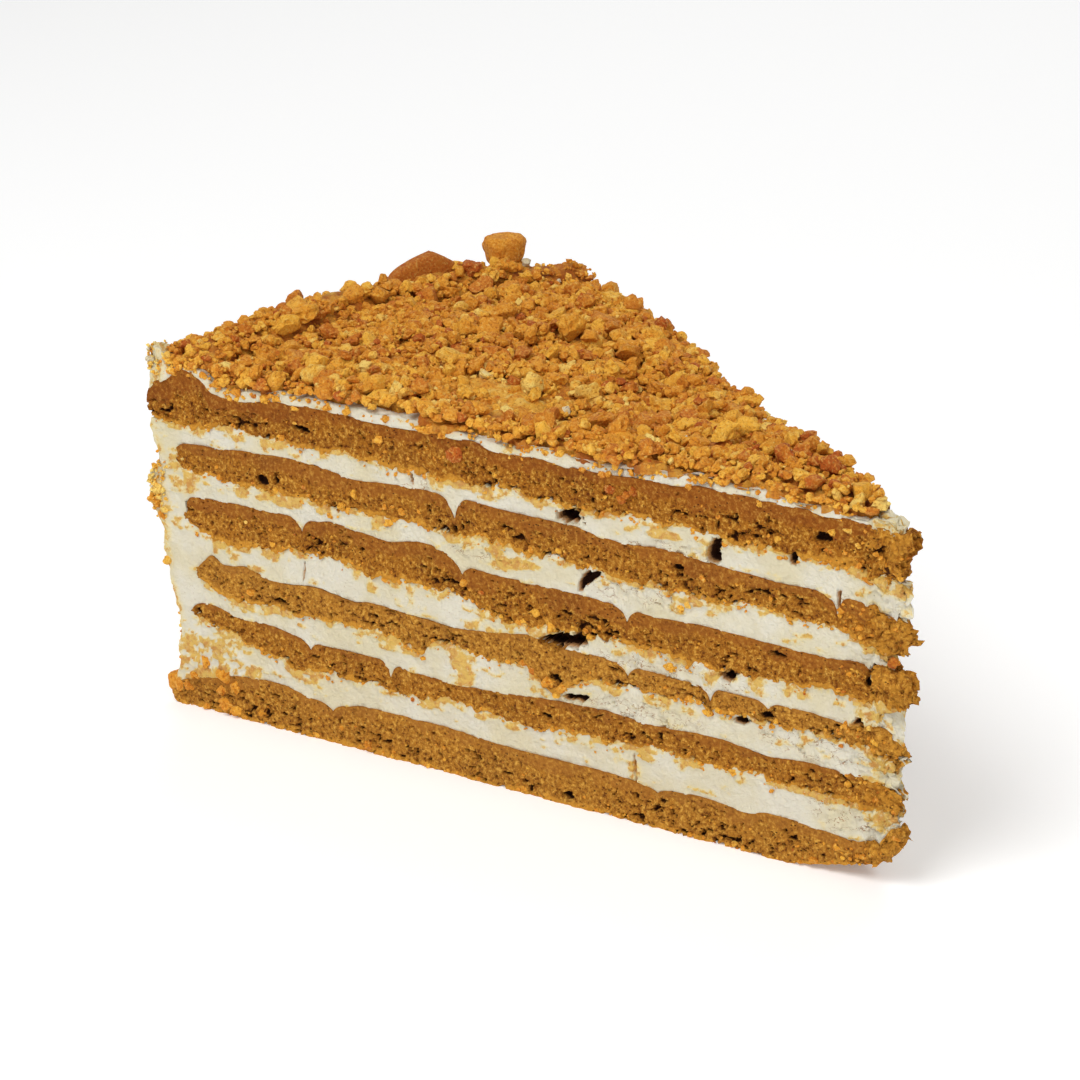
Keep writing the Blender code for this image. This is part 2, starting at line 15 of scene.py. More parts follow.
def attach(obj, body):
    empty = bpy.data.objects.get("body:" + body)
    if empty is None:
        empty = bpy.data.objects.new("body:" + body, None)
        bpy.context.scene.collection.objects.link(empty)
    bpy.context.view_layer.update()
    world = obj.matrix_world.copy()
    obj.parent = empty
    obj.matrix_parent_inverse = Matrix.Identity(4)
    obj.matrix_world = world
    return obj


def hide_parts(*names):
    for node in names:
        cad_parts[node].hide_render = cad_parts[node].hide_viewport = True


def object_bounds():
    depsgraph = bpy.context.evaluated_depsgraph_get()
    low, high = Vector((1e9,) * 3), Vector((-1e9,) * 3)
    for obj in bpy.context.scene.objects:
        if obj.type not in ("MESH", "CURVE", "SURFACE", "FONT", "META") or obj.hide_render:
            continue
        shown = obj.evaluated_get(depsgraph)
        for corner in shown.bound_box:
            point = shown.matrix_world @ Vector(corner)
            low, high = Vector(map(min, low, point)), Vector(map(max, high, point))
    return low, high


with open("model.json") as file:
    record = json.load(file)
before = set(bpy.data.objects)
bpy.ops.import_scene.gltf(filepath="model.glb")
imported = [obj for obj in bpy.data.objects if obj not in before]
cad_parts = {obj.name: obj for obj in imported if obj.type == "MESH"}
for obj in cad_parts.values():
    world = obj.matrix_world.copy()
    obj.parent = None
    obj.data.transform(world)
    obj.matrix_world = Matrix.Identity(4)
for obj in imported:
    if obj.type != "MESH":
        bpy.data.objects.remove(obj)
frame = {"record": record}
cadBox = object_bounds()

middle = frame["record"]["mounts"][0]["pos_m"]  # on the centre line, 60 mm behind the tip
cake = dict(
    cutLength=0.120, halfAngle=math.radians(18.5), tipX=middle[0] + 0.060, midY=middle[1],
    blunt=0.0025, tipDraw=0.0022, steps=8, sway=0.0006, rimArc=0.077,
)
cutEnd = cake["cutLength"] - cake["blunt"]
halfDegrees = math.degrees(cake["halfAngle"])
cutNormals = [
    np.array([math.sin(cake["halfAngle"]), side * math.cos(cake["halfAngle"]), 0.0])
    for side in (-1, 1)
]


def inMetres(rows, lengths=None):
    # the first values of each row, or all of them, from millimetres
    return [
        tuple(v / 1000 if lengths is None or i < lengths else v for i, v in enumerate(row)) for row in rows
    ]


def stacked(*axes):
    return np.stack(axes, 1)


# Noise

def hashed(x, y, z, seed):
    # a number from 0 to 1 for each corner of a lattice, the same every time
    n = (x * 374761393 + y * 668265263 + z * 1440662683 + seed * 974634777) & 0xFFFFFFFF
    n = ((n ^ (n >> 13)) * 1274126177) & 0xFFFFFFFF
    n = ((n ^ (n >> 15)) * 1103515245) & 0xFFFFFFFF
    return ((n ^ (n >> 16)) & 0xFFFFF) / 1048575.0


def softNoise(points, seed):
    base = np.floor(points).astype(np.int64)
    part = points - base
    ease = part * part * part * (part * (part * 6 - 15) + 10)
    total = np.zeros(len(points))
    for dx, dy, dz in itertools.product((0, 1), repeat=3):
        weight = (
            (ease[:, 0] if dx else 1 - ease[:, 0])
            * (ease[:, 1] if dy else 1 - ease[:, 1])
            * (ease[:, 2] if dz else 1 - ease[:, 2])
        )
        total += weight * hashed(base[:, 0] + dx, base[:, 1] + dy, base[:, 2] + dz, seed)
    return total * 2 - 1


def roughNoise(points, seed, octaves):
    total, size, reach = np.zeros(len(points)), 1.0, 0.0
    for octave in range(octaves):
        total += size * softNoise(points * 2.03**octave + 17.3 * octave, seed + octave)
        reach += size
        size *= 0.55
    return total / reach * 1.6


def cellNoise(points, seed):
    # distance to the nearest of the scattered centres, and that centre's own number
    base = np.floor(points).astype(np.int64)
    nearest, tone = np.full(len(points), 9.0), np.zeros(len(points))
    for step in itertools.product((-1, 0, 1), repeat=3):
        x, y, z = (base + np.array(step)).T
        centre = stacked(
            x + hashed(x, y, z, seed), y + hashed(x, y, z, seed + 1), z + hashed(x, y, z, seed + 2)
        )
        away = np.linalg.norm(centre - points, axis=1)
        closer = away < nearest
        nearest[closer] = away[closer]
        tone[closer] = hashed(x, y, z, seed + 3)[closer]
    return nearest, tone


def ramp(low, high, value):
    t = np.clip((value - low) / (high - low), 0, 1)
    return t * t * (3 - 2 * t)


# Levels of the layers

def lineThrough(knots, place):
    xs, ys = np.array(knots).T
    slopes = np.zeros(len(xs))
    slopes[1:-1] = (ys[2:] - ys[:-2]) / (xs[2:] - xs[:-2])
    i = np.clip(np.searchsorted(xs, place, side="right") - 1, 0, len(xs) - 2)
    span = xs[i + 1] - xs[i]
    t = np.clip((place - xs[i]) / span, 0, 1)
    rise = t * t * (3 - 2 * t)
    bend = slopes[i] * (t**3 - 2 * t**2 + t) + slopes[i + 1] * (t**3 - t**2)
    return ys[i] * (1 - rise) + ys[i + 1] * rise + span * bend


def swayOf(knots, place, share):
    # a slow wave that grows towards the far cut, less in a line that starts low
    bend = np.sin(900 * knots[0][1] + 3.0 * place / cake["cutLength"] * math.pi)
    return cake["sway"] * bend * share * min(1.0, knots[0][1] / 0.003)


def numberOf(layer):
    return int(layer["name"][-1])


def dipAt(place, at, width):
    # two round shoulders that meet in a crack
    wide = width * np.where(place < at, 2.6, 1.7)
    inward = np.clip(1 - np.abs(place - at) / wide, 0, 1)
    return 1 - np.sqrt(1 - 0.985 * inward**2)


def topOf(sponge, place, share):
    height = lineThrough(sponge["top"], place) + swayOf(sponge["top"], place, share)
    for at, front, far, width in sponge["dips"]:
        depth = front * (1 - share) ** 2 + far * share**2
        height = height - depth * 1.12 * dipAt(place, at, width)
    return height


def underOf(sponge, place, share):
    height = lineThrough(sponge["under"], place) + swayOf(sponge["under"], place, share)
    return np.maximum(0.0, height)


def halfWay(line, sponge):
    # height of a sponge's line in the middle of the front cut
    return float(line(sponge, np.array([cake["cutLength"] / 2]), 0.0)[0])


# The sponges' lines are (place, height); a dip is (place, depth at the front cut, depth at
# the far cut, half width). A layer starts at the place rim and stands out at the tip by
# reach, and nose is how far its top leads its under side there. smooth is the share of its
# thickness that is close and dark, and pale how light it is.
sponges = [
    dict(
        name="sponge_1", pale=0.0, rim=-0.0026, reach=-0.0004, nose=0.0032, smooth=0.36,
        top=inMetres([
            (-2.5, 47.5), (-1, 49), (1, 49.8), (3, 51.2), (4.5, 51.9), (7.5, 51), (10, 49), (15, 48.8),
            (22, 49.7), (28, 49.9), (35, 49.6), (48, 49.7), (56, 49.5), (59, 48.8), (65, 49.2),
            (70, 48.8), (75, 48.7), (80, 49), (90, 49.6), (110, 49.3), (120, 48.8),
        ]),
        under=inMetres([
            (-2.5, 43.4), (0, 43.3), (5, 42.8), (10, 43.8), (15, 44.2), (28, 44), (40, 43.4), (50, 43.5),
            (60, 43.6), (70, 43.2), (76, 42.8), (80, 43.6), (85, 43.9), (95, 43.2), (110, 42.8),
            (120, 42),
        ]),
        dips=inMetres([(61, 0, 1.6, 2)]),
    ),
    dict(
        name="sponge_2", pale=0.04, rim=0.0023, reach=0.0004, nose=0.0, smooth=0.36,
        top=inMetres([
            (2, 39.8), (4, 40.6), (10, 40.9), (15, 41.4), (22, 41.7), (28, 41.5), (34, 40.6), (42, 41.2),
            (48, 41.2), (54, 41.1), (60, 40.7), (70, 40.6), (77, 39.7), (85, 40), (92, 39.4), (97, 39.1),
            (102, 38.8), (105, 38.9), (113, 38.6), (118, 37.5), (121, 36.2),
        ]),
        under=inMetres([
            (2, 37.5), (5, 36.3), (8, 36), (20, 35.8), (30, 35.8), (38, 35.5), (45, 35.9), (60, 35.5),
            (70, 35), (80, 34.7), (92, 34), (100, 34.5), (110, 33.9), (120, 32.9),
        ]),
        dips=inMetres([(51, 3.8, 0, 1.3), (80, 0, 3.4, 1.4), (109.8, 3.4, 0, 1)]),
    ),
    dict(
        name="sponge_3", pale=0.04, rim=0.0035, reach=0.0008, nose=0.0004, smooth=0.36,
        top=inMetres([
            (3.5, 32), (5, 32.7), (8, 33), (20, 33.2), (27, 33.1), (30, 33.6), (38, 32.7), (40, 32.6),
            (45, 33.5), (49, 33), (54, 31.4), (65, 31.2), (74, 31), (82, 30.4), (90, 30.6), (100, 30.3),
            (108, 30.1), (116, 30.5), (120, 30.3),
        ]),
        under=inMetres([
            (3.5, 29.2), (6, 27.8), (10, 26.8), (18, 26.7), (22, 28), (27, 28.6), (31, 28), (40, 26.9),
            (44, 27.6), (50, 27), (53, 26.3), (58, 24.8), (65, 25.2), (70, 25), (80, 25.5), (95, 25),
            (105, 25.3), (120, 25.8),
        ]),
        dips=inMetres([
            (24.7, 2.4, 0, 1.1), (52, 2.2, 0, 1.4), (78.5, 2.2, 0, 1.2), (36, 0, 2.8, 1.4),
            (114.6, 1.2, 0, 0.5),
        ]),
    ),
    dict(
        name="sponge_4", pale=0.16, rim=0.0055, reach=-0.0008, nose=-0.0014, smooth=0.12,
        top=inMetres([
            (5.6, 22.5), (8, 24.4), (10, 23.4), (15, 23.8), (18, 22.9), (22, 22.7), (27, 23.2),
            (33, 22.3), (36, 22.8), (45, 22.3), (50, 22), (57, 22.8), (63, 23.6), (66, 23), (73, 22.9),
            (85, 22.2), (95, 22), (106, 21.9), (112, 21.5), (115, 22.4), (120, 21.4),
        ]),
        under=inMetres([
            (5.6, 20.6), (9, 18.8), (12, 18.3), (20, 18.5), (40, 18.7), (45, 17.7), (48, 18.7),
            (58, 18.8), (62, 18.4), (66, 16), (70, 18), (74, 18.8), (86, 19.3), (100, 19.3), (110, 19),
            (120, 17.6),
        ]),
        dips=inMetres([
            (78.5, 2, 0, 1.3), (91.2, 2.6, 0, 0.8), (100, 1.1, 0, 1), (30, 0, 2.2, 1.4),
        ]),
    ),
    dict(
        name="sponge_5", pale=0.06, rim=0.0038, reach=-0.0008, nose=-0.0006, smooth=0.16,
        top=inMetres([
            (3, 15), (4.5, 16.1), (7, 16.8), (9.5, 16.5), (12, 15.8), (18, 15.8), (24, 14.9), (28, 14.6),
            (37, 14.7), (42, 14.1), (50, 13.8), (60, 14.3), (65, 14.8), (75, 15.2), (82, 14.8),
            (92, 15.2), (100, 14.4), (104, 14.8), (120, 14.7),
        ]),
        under=inMetres([
            (3, 14.2), (8, 13.5), (12, 12.6), (15, 11.3), (19, 10.8), (33, 10.2), (50, 10.7), (60, 10.3),
            (70, 10.5), (80, 11.2), (100, 11), (120, 11.2),
        ]),
        dips=inMetres([(25.5, 1.6, 0, 0.9), (39.5, 2.4, 0, 0.9), (66, 0, 2.2, 1.4)]),
    ),
    dict(
        name="sponge_6", pale=0.14, rim=-0.0006, reach=-0.0002, nose=0.0006, smooth=0.26,
        top=inMetres([
            (0, 3.4), (3, 4.4), (8, 5.6), (11, 6.5), (20, 6.9), (26, 6), (31, 6.1), (34, 6.7), (40, 6.9),
            (50, 6.8), (60, 6.2), (75, 6.2), (80, 6), (86, 6), (90, 6.2), (97, 5.7), (100, 6.3),
            (110, 5.8), (114, 5.3), (116.5, 6.3), (120, 9.7),
        ]),
        under=inMetres([
            (0, 0), (101, 0), (104, 0.1), (110, 1.5), (116, 2.9), (120, 5.5),
        ]),
        dips=inMetres([(29, 1.3, 0, 1.4), (83, 1.1, 0, 2), (50, 0, 1.6, 1.6)]),
    ),
]

# Hollows and tears in the front cut: place, height, half length, half height, depth and
# tilt in degrees.
hollows = inMetres([
    (69.7, 41.8, 2.1, 1.2, 3.4, 4), (91.8, 41.2, 1, 1.7, 2.6, -25), (103.4, 42.6, 0.7, 0.8, 1.6, 0),
    (72.2, 33.7, 0.7, 1.1, 2.2, -38), (73.4, 34.2, 1.1, 0.4, 1.6, 40), (71.4, 32.8, 0.4, 1, 1.8, -10),
    (68.5, 23.9, 3.8, 1.1, 3.4, 10), (94, 24.3, 1.4, 0.9, 2.4, -8), (96, 18.5, 1.2, 0.5, 1.6, 8),
    (67.2, 18, 1.1, 0.5, 1.8, -20), (70, 16, 2.2, 0.5, 2, 6), (99.6, 20.1, 1, 0.5, 1.4, 0),
    (25.5, 46.4, 1.9, 0.4, 1.4, -4), (107.5, 46.2, 1.3, 0.6, 1.4, 0), (18, 37.6, 1, 0.7, 1.4, 0),
    (20.5, 38.1, 0.6, 0.7, 1.2, 0), (86.5, 37.8, 1, 0.5, 1.2, 0), (69, 1.4, 1, 0.6, 1.4, 0),
    (114.6, 28.7, 0.4, 2, 1.6, -12), (113, 22, 0.7, 0.8, 1.4, 0), (43.9, 42.3, 0.2, 0.8, 0.7, 8),
    (24.7, 25.2, 0.2, 1.6, 0.6, -6), (65.2, 12.5, 1, 0.4, 1.2, 0), (101, 29, 1.2, 0.4, 1, 0),
    (79.5, 8, 0.2, 1.8, 0.6, 4), (51, 36.6, 0.5, 0.6, 1.2, 0), (20.5, 19.9, 0.9, 0.4, 1.2, 0),
    (110, 38, 0.2, 1.4, 0.8, 0),
], 5)


def hollowAt(place, height, share):
    # how far inside a hollow a point of the front cut is, and the hollow's depth
    inside, depth = np.zeros(len(place)), np.zeros(len(place))
    points = stacked(place, height, 0 * place)
    ragged = 0.95 * roughNoise(points / 0.0008, 71, 4)
    for at, level, long, tall, deep, tilt in hollows:  # shallow ones are cracks
        turn = math.radians(tilt)
        dx, dz = place - at, height - level
        along = (dx * math.cos(turn) + dz * math.sin(turn)) / long
        across = (dz * math.cos(turn) - dx * math.sin(turn)) / tall
        here = ramp(1.25, 0.70, along**2 + across**2 + ragged) * (share < 0.01)
        depth = np.maximum(depth, deep * here)
        inside = np.maximum(inside, here * min(1, deep / 0.0016))
    return inside, depth


# Meshes

def meshFrom(bm, name):
    mesh = bpy.data.meshes.new(name)
    bm.to_mesh(mesh)
    bm.free()
    return mesh


def pointsOf(mesh):
    co = np.empty(len(mesh.vertices) * 3, np.float32)
    mesh.vertices.foreach_get("co", co)
    return co.reshape(-1, 3).astype(float)


def placed(name, data):
    # a new object in the scene
    item = bpy.data.objects.new(name, data)
    bpy.context.scene.collection.objects.link(item)
    return item


def spunSlab(columns, rows, steps, rimCuts=0, hollowCell=None):
    # a grid of columns by rows turned through the slice's angle: a face at each cut and a
    # wall round the outline, which is cut finer where it shows at the rim
    bm = bmesh.new()
    bmesh.ops.create_grid(bm, x_segments=columns, y_segments=rows, size=0.5)
    if hollowCell:
        unwanted = [f for f in bm.faces if hollowCell(*(c + 0.5 for c in f.calc_center_median()[:2]))]
        bmesh.ops.delete(bm, geom=unwanted, context="FACES")
    stand = (
        Matrix.Rotation(cake["halfAngle"], 4, "Z")
        @ Matrix.Translation((-2, 0, 0))
        @ Matrix.Rotation(math.pi / 2, 4, "X")
    )
    bmesh.ops.transform(bm, matrix=stand, verts=bm.verts[:])
    outline = [e for e in bm.edges if e.is_boundary]
    corners = list({v for e in outline for v in e.verts})
    copied = bmesh.ops.duplicate(bm, geom=bm.verts[:] + bm.edges[:] + bm.faces[:])["geom"]
    far = [g for g in copied if isinstance(g, bmesh.types.BMVert)]
    bmesh.ops.rotate(bm, verts=far, cent=(0, 0, 0), matrix=Matrix.Rotation(-2 * cake["halfAngle"], 3, "Z"))
    bmesh.ops.spin(
        bm, geom=corners + outline, cent=(0, 0, 0), axis=(0, 0, -1),
        angle=2 * cake["halfAngle"], steps=steps, use_duplicate=False,
    )
    bmesh.ops.remove_doubles(bm, verts=bm.verts[:], dist=0.00001)
    if rimCuts:
        arcs = [
            e for e in bm.edges
            if abs(e.verts[0].co.z - e.verts[1].co.z) < 0.1 / rows
            and all(v.co.xy.length > 2.5 - 0.1 / columns for v in e.verts)
        ]
        bmesh.ops.subdivide_edges(bm, edges=arcs, cuts=rimCuts, use_grid_fill=True)
    bmesh.ops.recalc_face_normals(bm, faces=bm.faces[:])
    mesh = meshFrom(bm, "slab")
    x, y, z = pointsOf(mesh).T
    fine = steps * (rimCuts + 1)
    share = np.round((np.arctan2(y, -x) / cake["halfAngle"] + 1) / 2 * fine) / fine
    column = np.round((2.5 - np.hypot(x, y)) * columns) / columns
    row = np.round((z + 0.5) * rows) / rows
    return mesh, np.clip(column, 0, 1), row, np.clip(share, 0, 1)


def planOf(place, share, reach):
    # plan position; near the tip the layer is drawn out by its reach
    radius = cake["cutLength"] - place
    angle = cake["halfAngle"] * (2 * share - 1)
    x = cake["tipX"] - radius * np.cos(angle)
    y = cake["midY"] + radius * np.sin(angle)
    x = x + (reach + cake["blunt"]) * np.exp(-np.maximum(0, radius - cake["blunt"]) / cake["tipDraw"])
    return x, y, cake["cutLength"] - (cake["tipX"] - x) / np.cos(angle)


def pushCut(points, share, place, relief):
    # moves the points of the two cuts along the cuts' normals, less near the tip
    room = np.clip((cake["cutLength"] - place) * math.sin(cake["halfAngle"]) * 0.7, 0.0004, 1)
    relief = np.clip(relief, -room, room)
    for side, normal in ((0.0, cutNormals[0]), (1.0, cutNormals[1])):
        here = share == side
        points[here] += relief[here, None] * normal
    return points


def tipReach(sponge, row, share):
    # how far a sponge's end stands out at the tip, ragged, from its under side to its top
    seed = numberOf(sponge)
    ragged = roughNoise(stacked(share * 3, row * 4.5, 0 * row + seed), seed + 40, 3)
    nose = sponge["nose"] * (row - 0.5) - 0.0009 * (2 * row - 1) ** 2
    return nose + 0.0010 * ragged


tip = dict(start=0.1085, full=0.1170, shake=0.0007, size=0.0014)


def shaken(points, size, seeds):
    # a ragged move along x, y and z
    return stacked(*(roughNoise(points / size, seed, 4) for seed in seeds))


def roughenTip(points, place):
    # breaks up the end of every layer in the same way, so that they stay clear of each other
    away = tip["shake"] * ramp(tip["start"], tip["full"], place)[:, None]
    points = points + away * shaken(points, tip["size"], (401, 408, 415))
    points[:, 2] = np.maximum(points[:, 2], 0)
    return points


def alongRim(share, height):
    # points of the rim, unrolled
    return stacked(share * cake["rimArc"], height, 0 * height)


def onCuts(share):
    return (share == 0) | (share == 1)


def dress(mesh, name, points, nodes, slot, material, sharp=50, **attributes):
    mesh.vertices.foreach_set("co", points.astype(np.float32).ravel())
    for key, values in attributes.items():
        layer = mesh.attributes.new(key, "FLOAT", "POINT")
        layer.data.foreach_set("value", np.asarray(values, np.float32))
    mesh.name = name
    mesh.materials.clear()
    mesh.materials.append(material)
    mesh.shade_smooth()
    if sharp:
        mesh.set_sharp_from_angle(angle=math.radians(sharp))
    mesh.update()
    piece = placed(name, mesh)
    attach(piece, "root")
    if nodes:
        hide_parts(*nodes)
    print(name, len(mesh.polygons), "faces")
    return piece


# Shaders

class Socket:
    # a node's output, so that shader maths reads as plain sums
    def __init__(self, graph, link):
        self.graph, self.link = graph, link

    def math(self, operation, *others):
        return self.graph.add(
            "ShaderNodeMath", dict(operation=operation), dict(enumerate((self, *others)))
        )

    def __add__(self, other):
        return self.math("ADD", other)

    def __mul__(self, other):
        return self.math("MULTIPLY", other)

    def __sub__(self, other):
        return self.math("SUBTRACT", other)

    def __rsub__(self, other):
        return (self * -1.0) + other

    __radd__ = __add__
    __rmul__ = __mul__

    def between(self, low, high):
        return self.graph.add(
            "ShaderNodeMapRange", dict(interpolation_type="SMOOTHSTEP"),
            {"Value": self, "From Min": low, "From Max": high},
        )


class Graph:
    # a material with its look: base is the colour as painted so far
    def __init__(self, name, look=None, first=None):
        self.material = bpy.data.materials.new(name)
        self.material.use_nodes = True
        self.tree = self.material.node_tree
        self.surface = self.tree.nodes["Principled BSDF"]
        self.look, self.base = look, look and look[first]

    def add(self, kind, settings, inputs, output=0):
        node = self.tree.nodes.new(kind)
        for key, value in settings.items():
            setattr(node, key, value)
        for key, value in inputs.items():
            self.feed(node.inputs[key], value)
        return Socket(self, node.outputs[output])

    def feed(self, socket, value):
        if isinstance(value, Socket):
            self.tree.links.new(value.link, socket)
        else:
            socket.default_value = value

    def attribute(self, name):
        return self.add("ShaderNodeAttribute", dict(attribute_name=name), {}, "Fac")

    def where(self, stretch=(1, 1, 1)):
        place = self.add("ShaderNodeTexCoord", {}, {}, "Object")
        return self.add("ShaderNodeMapping", {}, {"Vector": place, "Scale": stretch})

    def noise(self, size, detail=3.0, stretch=(1, 1, 1), rough=0.55):
        return self.add("ShaderNodeTexNoise", {}, {
            "Vector": self.where(stretch), "Scale": 1 / size, "Detail": detail, "Roughness": rough,
        })

    def cells(self, size, stretch=(1, 1, 1)):
        return self.add(
            "ShaderNodeTexVoronoi", {}, {"Vector": self.where(stretch), "Scale": 1 / size}, "Distance"
        )

    def mix(self, share, first, second):
        return self.add("ShaderNodeMix", dict(data_type="RGBA"), {0: share, 6: first, 7: second}, 2)

    def lay(self, share, tint):
        # another colour of the look over the base
        self.base = self.mix(share, self.base, self.look[tint])

    def bump(self, height, strength, distance, under=None):
        inputs = {"Height": height, "Strength": strength, "Distance": distance}
        if under:
            inputs["Normal"] = under
        return self.add("ShaderNodeBump", {}, inputs)

    def finished(self, **values):
        # what the surface gets; the words of a socket's name are joined by underscores
        for key, value in values.items():
            self.feed(self.surface.inputs[key.replace("_", " ")], value)
        return self.material


def colour(red, green, blue):
    # linear light from the 0 to 255 values of a screen
    return tuple(
        (v / 255 / 12.92 if v <= 10 else ((v / 255 + 0.055) / 1.055) ** 2.4) for v in (red, green, blue)
    ) + (1.0,)


# Sponge colours. Two of them are painted shade: the near black inside the hollows of the front cut, and the
# dark of pores and pits.
spongeLook = dict(
    smooth=colour(140, 79, 19), open=colour(162, 100, 24), light=colour(238, 184, 82),
    dark=colour(74, 18, 0), pit=colour(50, 12, 0), void=colour(44, 20, 6),
    gold=colour(222, 158, 56), rough=0.88,
)


def spongeMaterial():
    g = Graph("honeySponge", spongeLook, "smooth")
    crumbly = (g.attribute("crumbly") + (g.noise(0.0022, 4) - 0.5) * 0.9).between(0.15, 0.85)
    g.lay(crumbly, "open")
    g.lay(g.noise(0.006, 4).between(0.42, 0.75) * 0.28, "dark")
    g.lay(g.attribute("pale"), "light")
    grain = g.noise(0.00054, 5, rough=0.70)
    # partly painted light: the raised grain is painted pale as highlight and the low grain dark as shade,
    # over the crumb's own grain colour
    g.lay(grain.between(0.50, 0.66) * (crumbly * 0.36 + 0.28), "light")
    g.lay(grain.between(0.49, 0.34) * (crumbly * 0.46 + 0.40), "dark")
    # painted highlights: small pale specks over the open crumb, partly the crumb's own pale grains
    highlightAndPaleSpecks = g.cells(0.00042).between(0.20, 0.05) * g.noise(0.0014, 2).between(0.46, 0.60)
    g.lay(highlightAndPaleSpecks * (crumbly * 0.45 + 0.10), "light")
    edge = g.attribute("gold") + (g.noise(0.0010, 5) - 0.5) * 1.5
    g.lay(edge.between(0.46, 0.85) * 0.55, "gold")
    # painted shade: pores and pits are painted near black over their sunken relief
    pores = g.cells(0.00080, (1, 1, 1.5)).between(0.27, 0.12) * g.noise(0.0026, 3).between(0.47, 0.57)
    g.lay(pores * 0.88, "pit")
    hole = (g.attribute("pit") + (grain - 0.5) * 0.9).between(0.36, 0.80)
    g.lay(hole * 0.94, "pit")
    # painted shade: the inside of each hollow of the front cut is painted near black
    g.lay((g.attribute("void") + (grain - 0.5) * 0.5).between(0.30, 0.60), "void")
    fine = g.bump(grain, crumbly * 0.50 + 0.45, 0.00040)
    lumps = g.bump(g.cells(0.00060), crumbly * -0.75 - 0.20, 0.00036, fine)
    holes = g.bump(pores, -0.8, 0.00035, lumps)
    return g.finished(
        Base_Color=g.base, Normal=holes, Roughness=g.look["rough"], Specular_IOR_Level=0.16
    )


# Cream colours; hole is painted shade, the dark brown inside the hollows.
creamLook = dict(
    cream=colour(221, 215, 197), shade=colour(215, 203, 166), crack=colour(146, 96, 42),
    gold=colour(222, 178, 78), amber=colour(198, 130, 44), yellow=colour(230, 208, 134),
    hole=colour(56, 27, 8), rough=0.62,
)


def creamMaterial():
    g = Graph("souredCream", creamLook, "cream")
    g.lay(g.noise(0.008, 4).between(0.36, 0.68) * 0.75, "shade")
    grit = g.noise(0.00042, 5, rough=0.66)
    g.lay(grit.between(0.46, 0.30) * 0.40, "shade")
    pores = g.cells(0.00070).between(0.17, 0.06) * g.noise(0.0035, 3).between(0.50, 0.62)
    g.lay(pores * 0.42, "crack")
    vein = (g.noise(0.0034, 4, (1, 1, 1.7), 0.6) - 0.5).math("ABSOLUTE").between(0.011, 0.002)
    crack = vein * g.attribute("crack")
    g.lay(crack * 0.80, "crack")
    ragged = (g.noise(0.00075, 6, rough=0.70) - 0.5) * 1.7
    stain = (g.attribute("smear") + ragged * 0.5).between(0.02, 0.70)
    g.lay(stain * 0.60, "yellow")
    smear = (g.attribute("smear") + ragged * 1.3).between(0.52, 0.90)
    tone = g.noise(0.0010, 5, rough=0.65).between(0.42, 0.64)
    g.base = g.mix(smear * 0.86, g.base, g.mix(tone, g.look["gold"], g.look["amber"]))
    edge = (g.attribute("pit") + ragged * 0.3).between(0.06, 0.30)
    g.lay(edge * 0.8, "amber")
    # painted shade: the inside of each hollow is painted dark brown
    hole = (g.attribute("pit") + ragged * 0.4).between(0.25, 0.60)
    g.lay(hole, "hole")
    wide = g.bump(g.noise(0.0010, 5, rough=0.65), 0.80, 0.00045)
    fine = g.bump(grit, smear * 0.2 + 0.80, 0.00034, wide)
    holes = g.bump(pores + crack, -0.8, 0.00035, fine)
    return g.finished(
        Base_Color=g.base, Normal=holes, Roughness=g.look["rough"], Specular_IOR_Level=0.22,
        Subsurface_Weight=0.10, Subsurface_Radius=(0.9, 0.7, 0.4), Subsurface_Scale=0.0010,
    )


crumbLook = dict(
    red=colour(190, 94, 20), brown=colour(208, 122, 28), amber=colour(230, 152, 38),
    gold=colour(246, 182, 58), pale=colour(254, 220, 120), dark=colour(150, 66, 4),
    cream=colour(228, 216, 182), rough=0.70,
)


def crumbMaterial():
    g = Graph("cookieCrumb", crumbLook, "red")
    tone = g.attribute("tone") + (g.noise(0.0016, 3) - 0.5) * 0.5
    bands = dict(
        brown=(0.02, 0.14), amber=(0.14, 0.40), gold=(0.40, 0.68), pale=(0.68, 0.98), cream=(1.25, 1.35)
    )
    for tint, (low, high) in bands.items():
        g.lay(tone.between(low, high), tint)
    grain = g.noise(0.00040, 5, rough=0.66)
    # partly painted light: the raised grain of each crumb is painted pale as highlight and the low grain
    # dark as shade, besides its own grain colour
    g.lay(grain.between(0.51, 0.70) * 0.56, "pale")
    g.lay(grain.between(0.49, 0.32) * 0.66, "dark")
    # painted shade on the bed between the crumbs; on the sponge flake it is the flake's own darker colour
    g.lay(g.attribute("pit") * 0.9, "dark")
    fine = g.bump(grain, 1.0, 0.00046)
    lumps = g.bump(g.cells(0.00055), -0.9, 0.00042, fine)
    return g.finished(
        Base_Color=g.base, Normal=lumps, Roughness=g.look["rough"], Specular_IOR_Level=0.34
    )


# Sponge layers

crag = dict(
    cell=0.0002, lump=0.0008, lumpDepth=0.00034, broad=0.0045, broadDepth=0.00024, pitLong=0.00095,
    pitTall=0.00060, pitDepth=0.0009, cluster=0.0055, jag=0.0010, jagDepth=0.00050,
    round=0.0013, fray=0.0008, fraySize=0.0011, rimLump=0.0016, rimLumpDepth=0.0004,
)


def lowerEdge(sponge, place, share):
    # a sponge's under side, ragged except where it rests
    low = underOf(sponge, place, share)
    if sponge is sponges[-1]:
        return low
    seed = numberOf(sponge) + 50
    spots = stacked(place, 0 * place, 0.05 * share) / crag["jag"]
    coarse = stacked(place, 0 * place, 0.05 * share) / (crag["jag"] * 4)
    return low + crag["jagDepth"] * (roughNoise(spots, seed, 3) + 0.8 * softNoise(coarse, seed + 9))


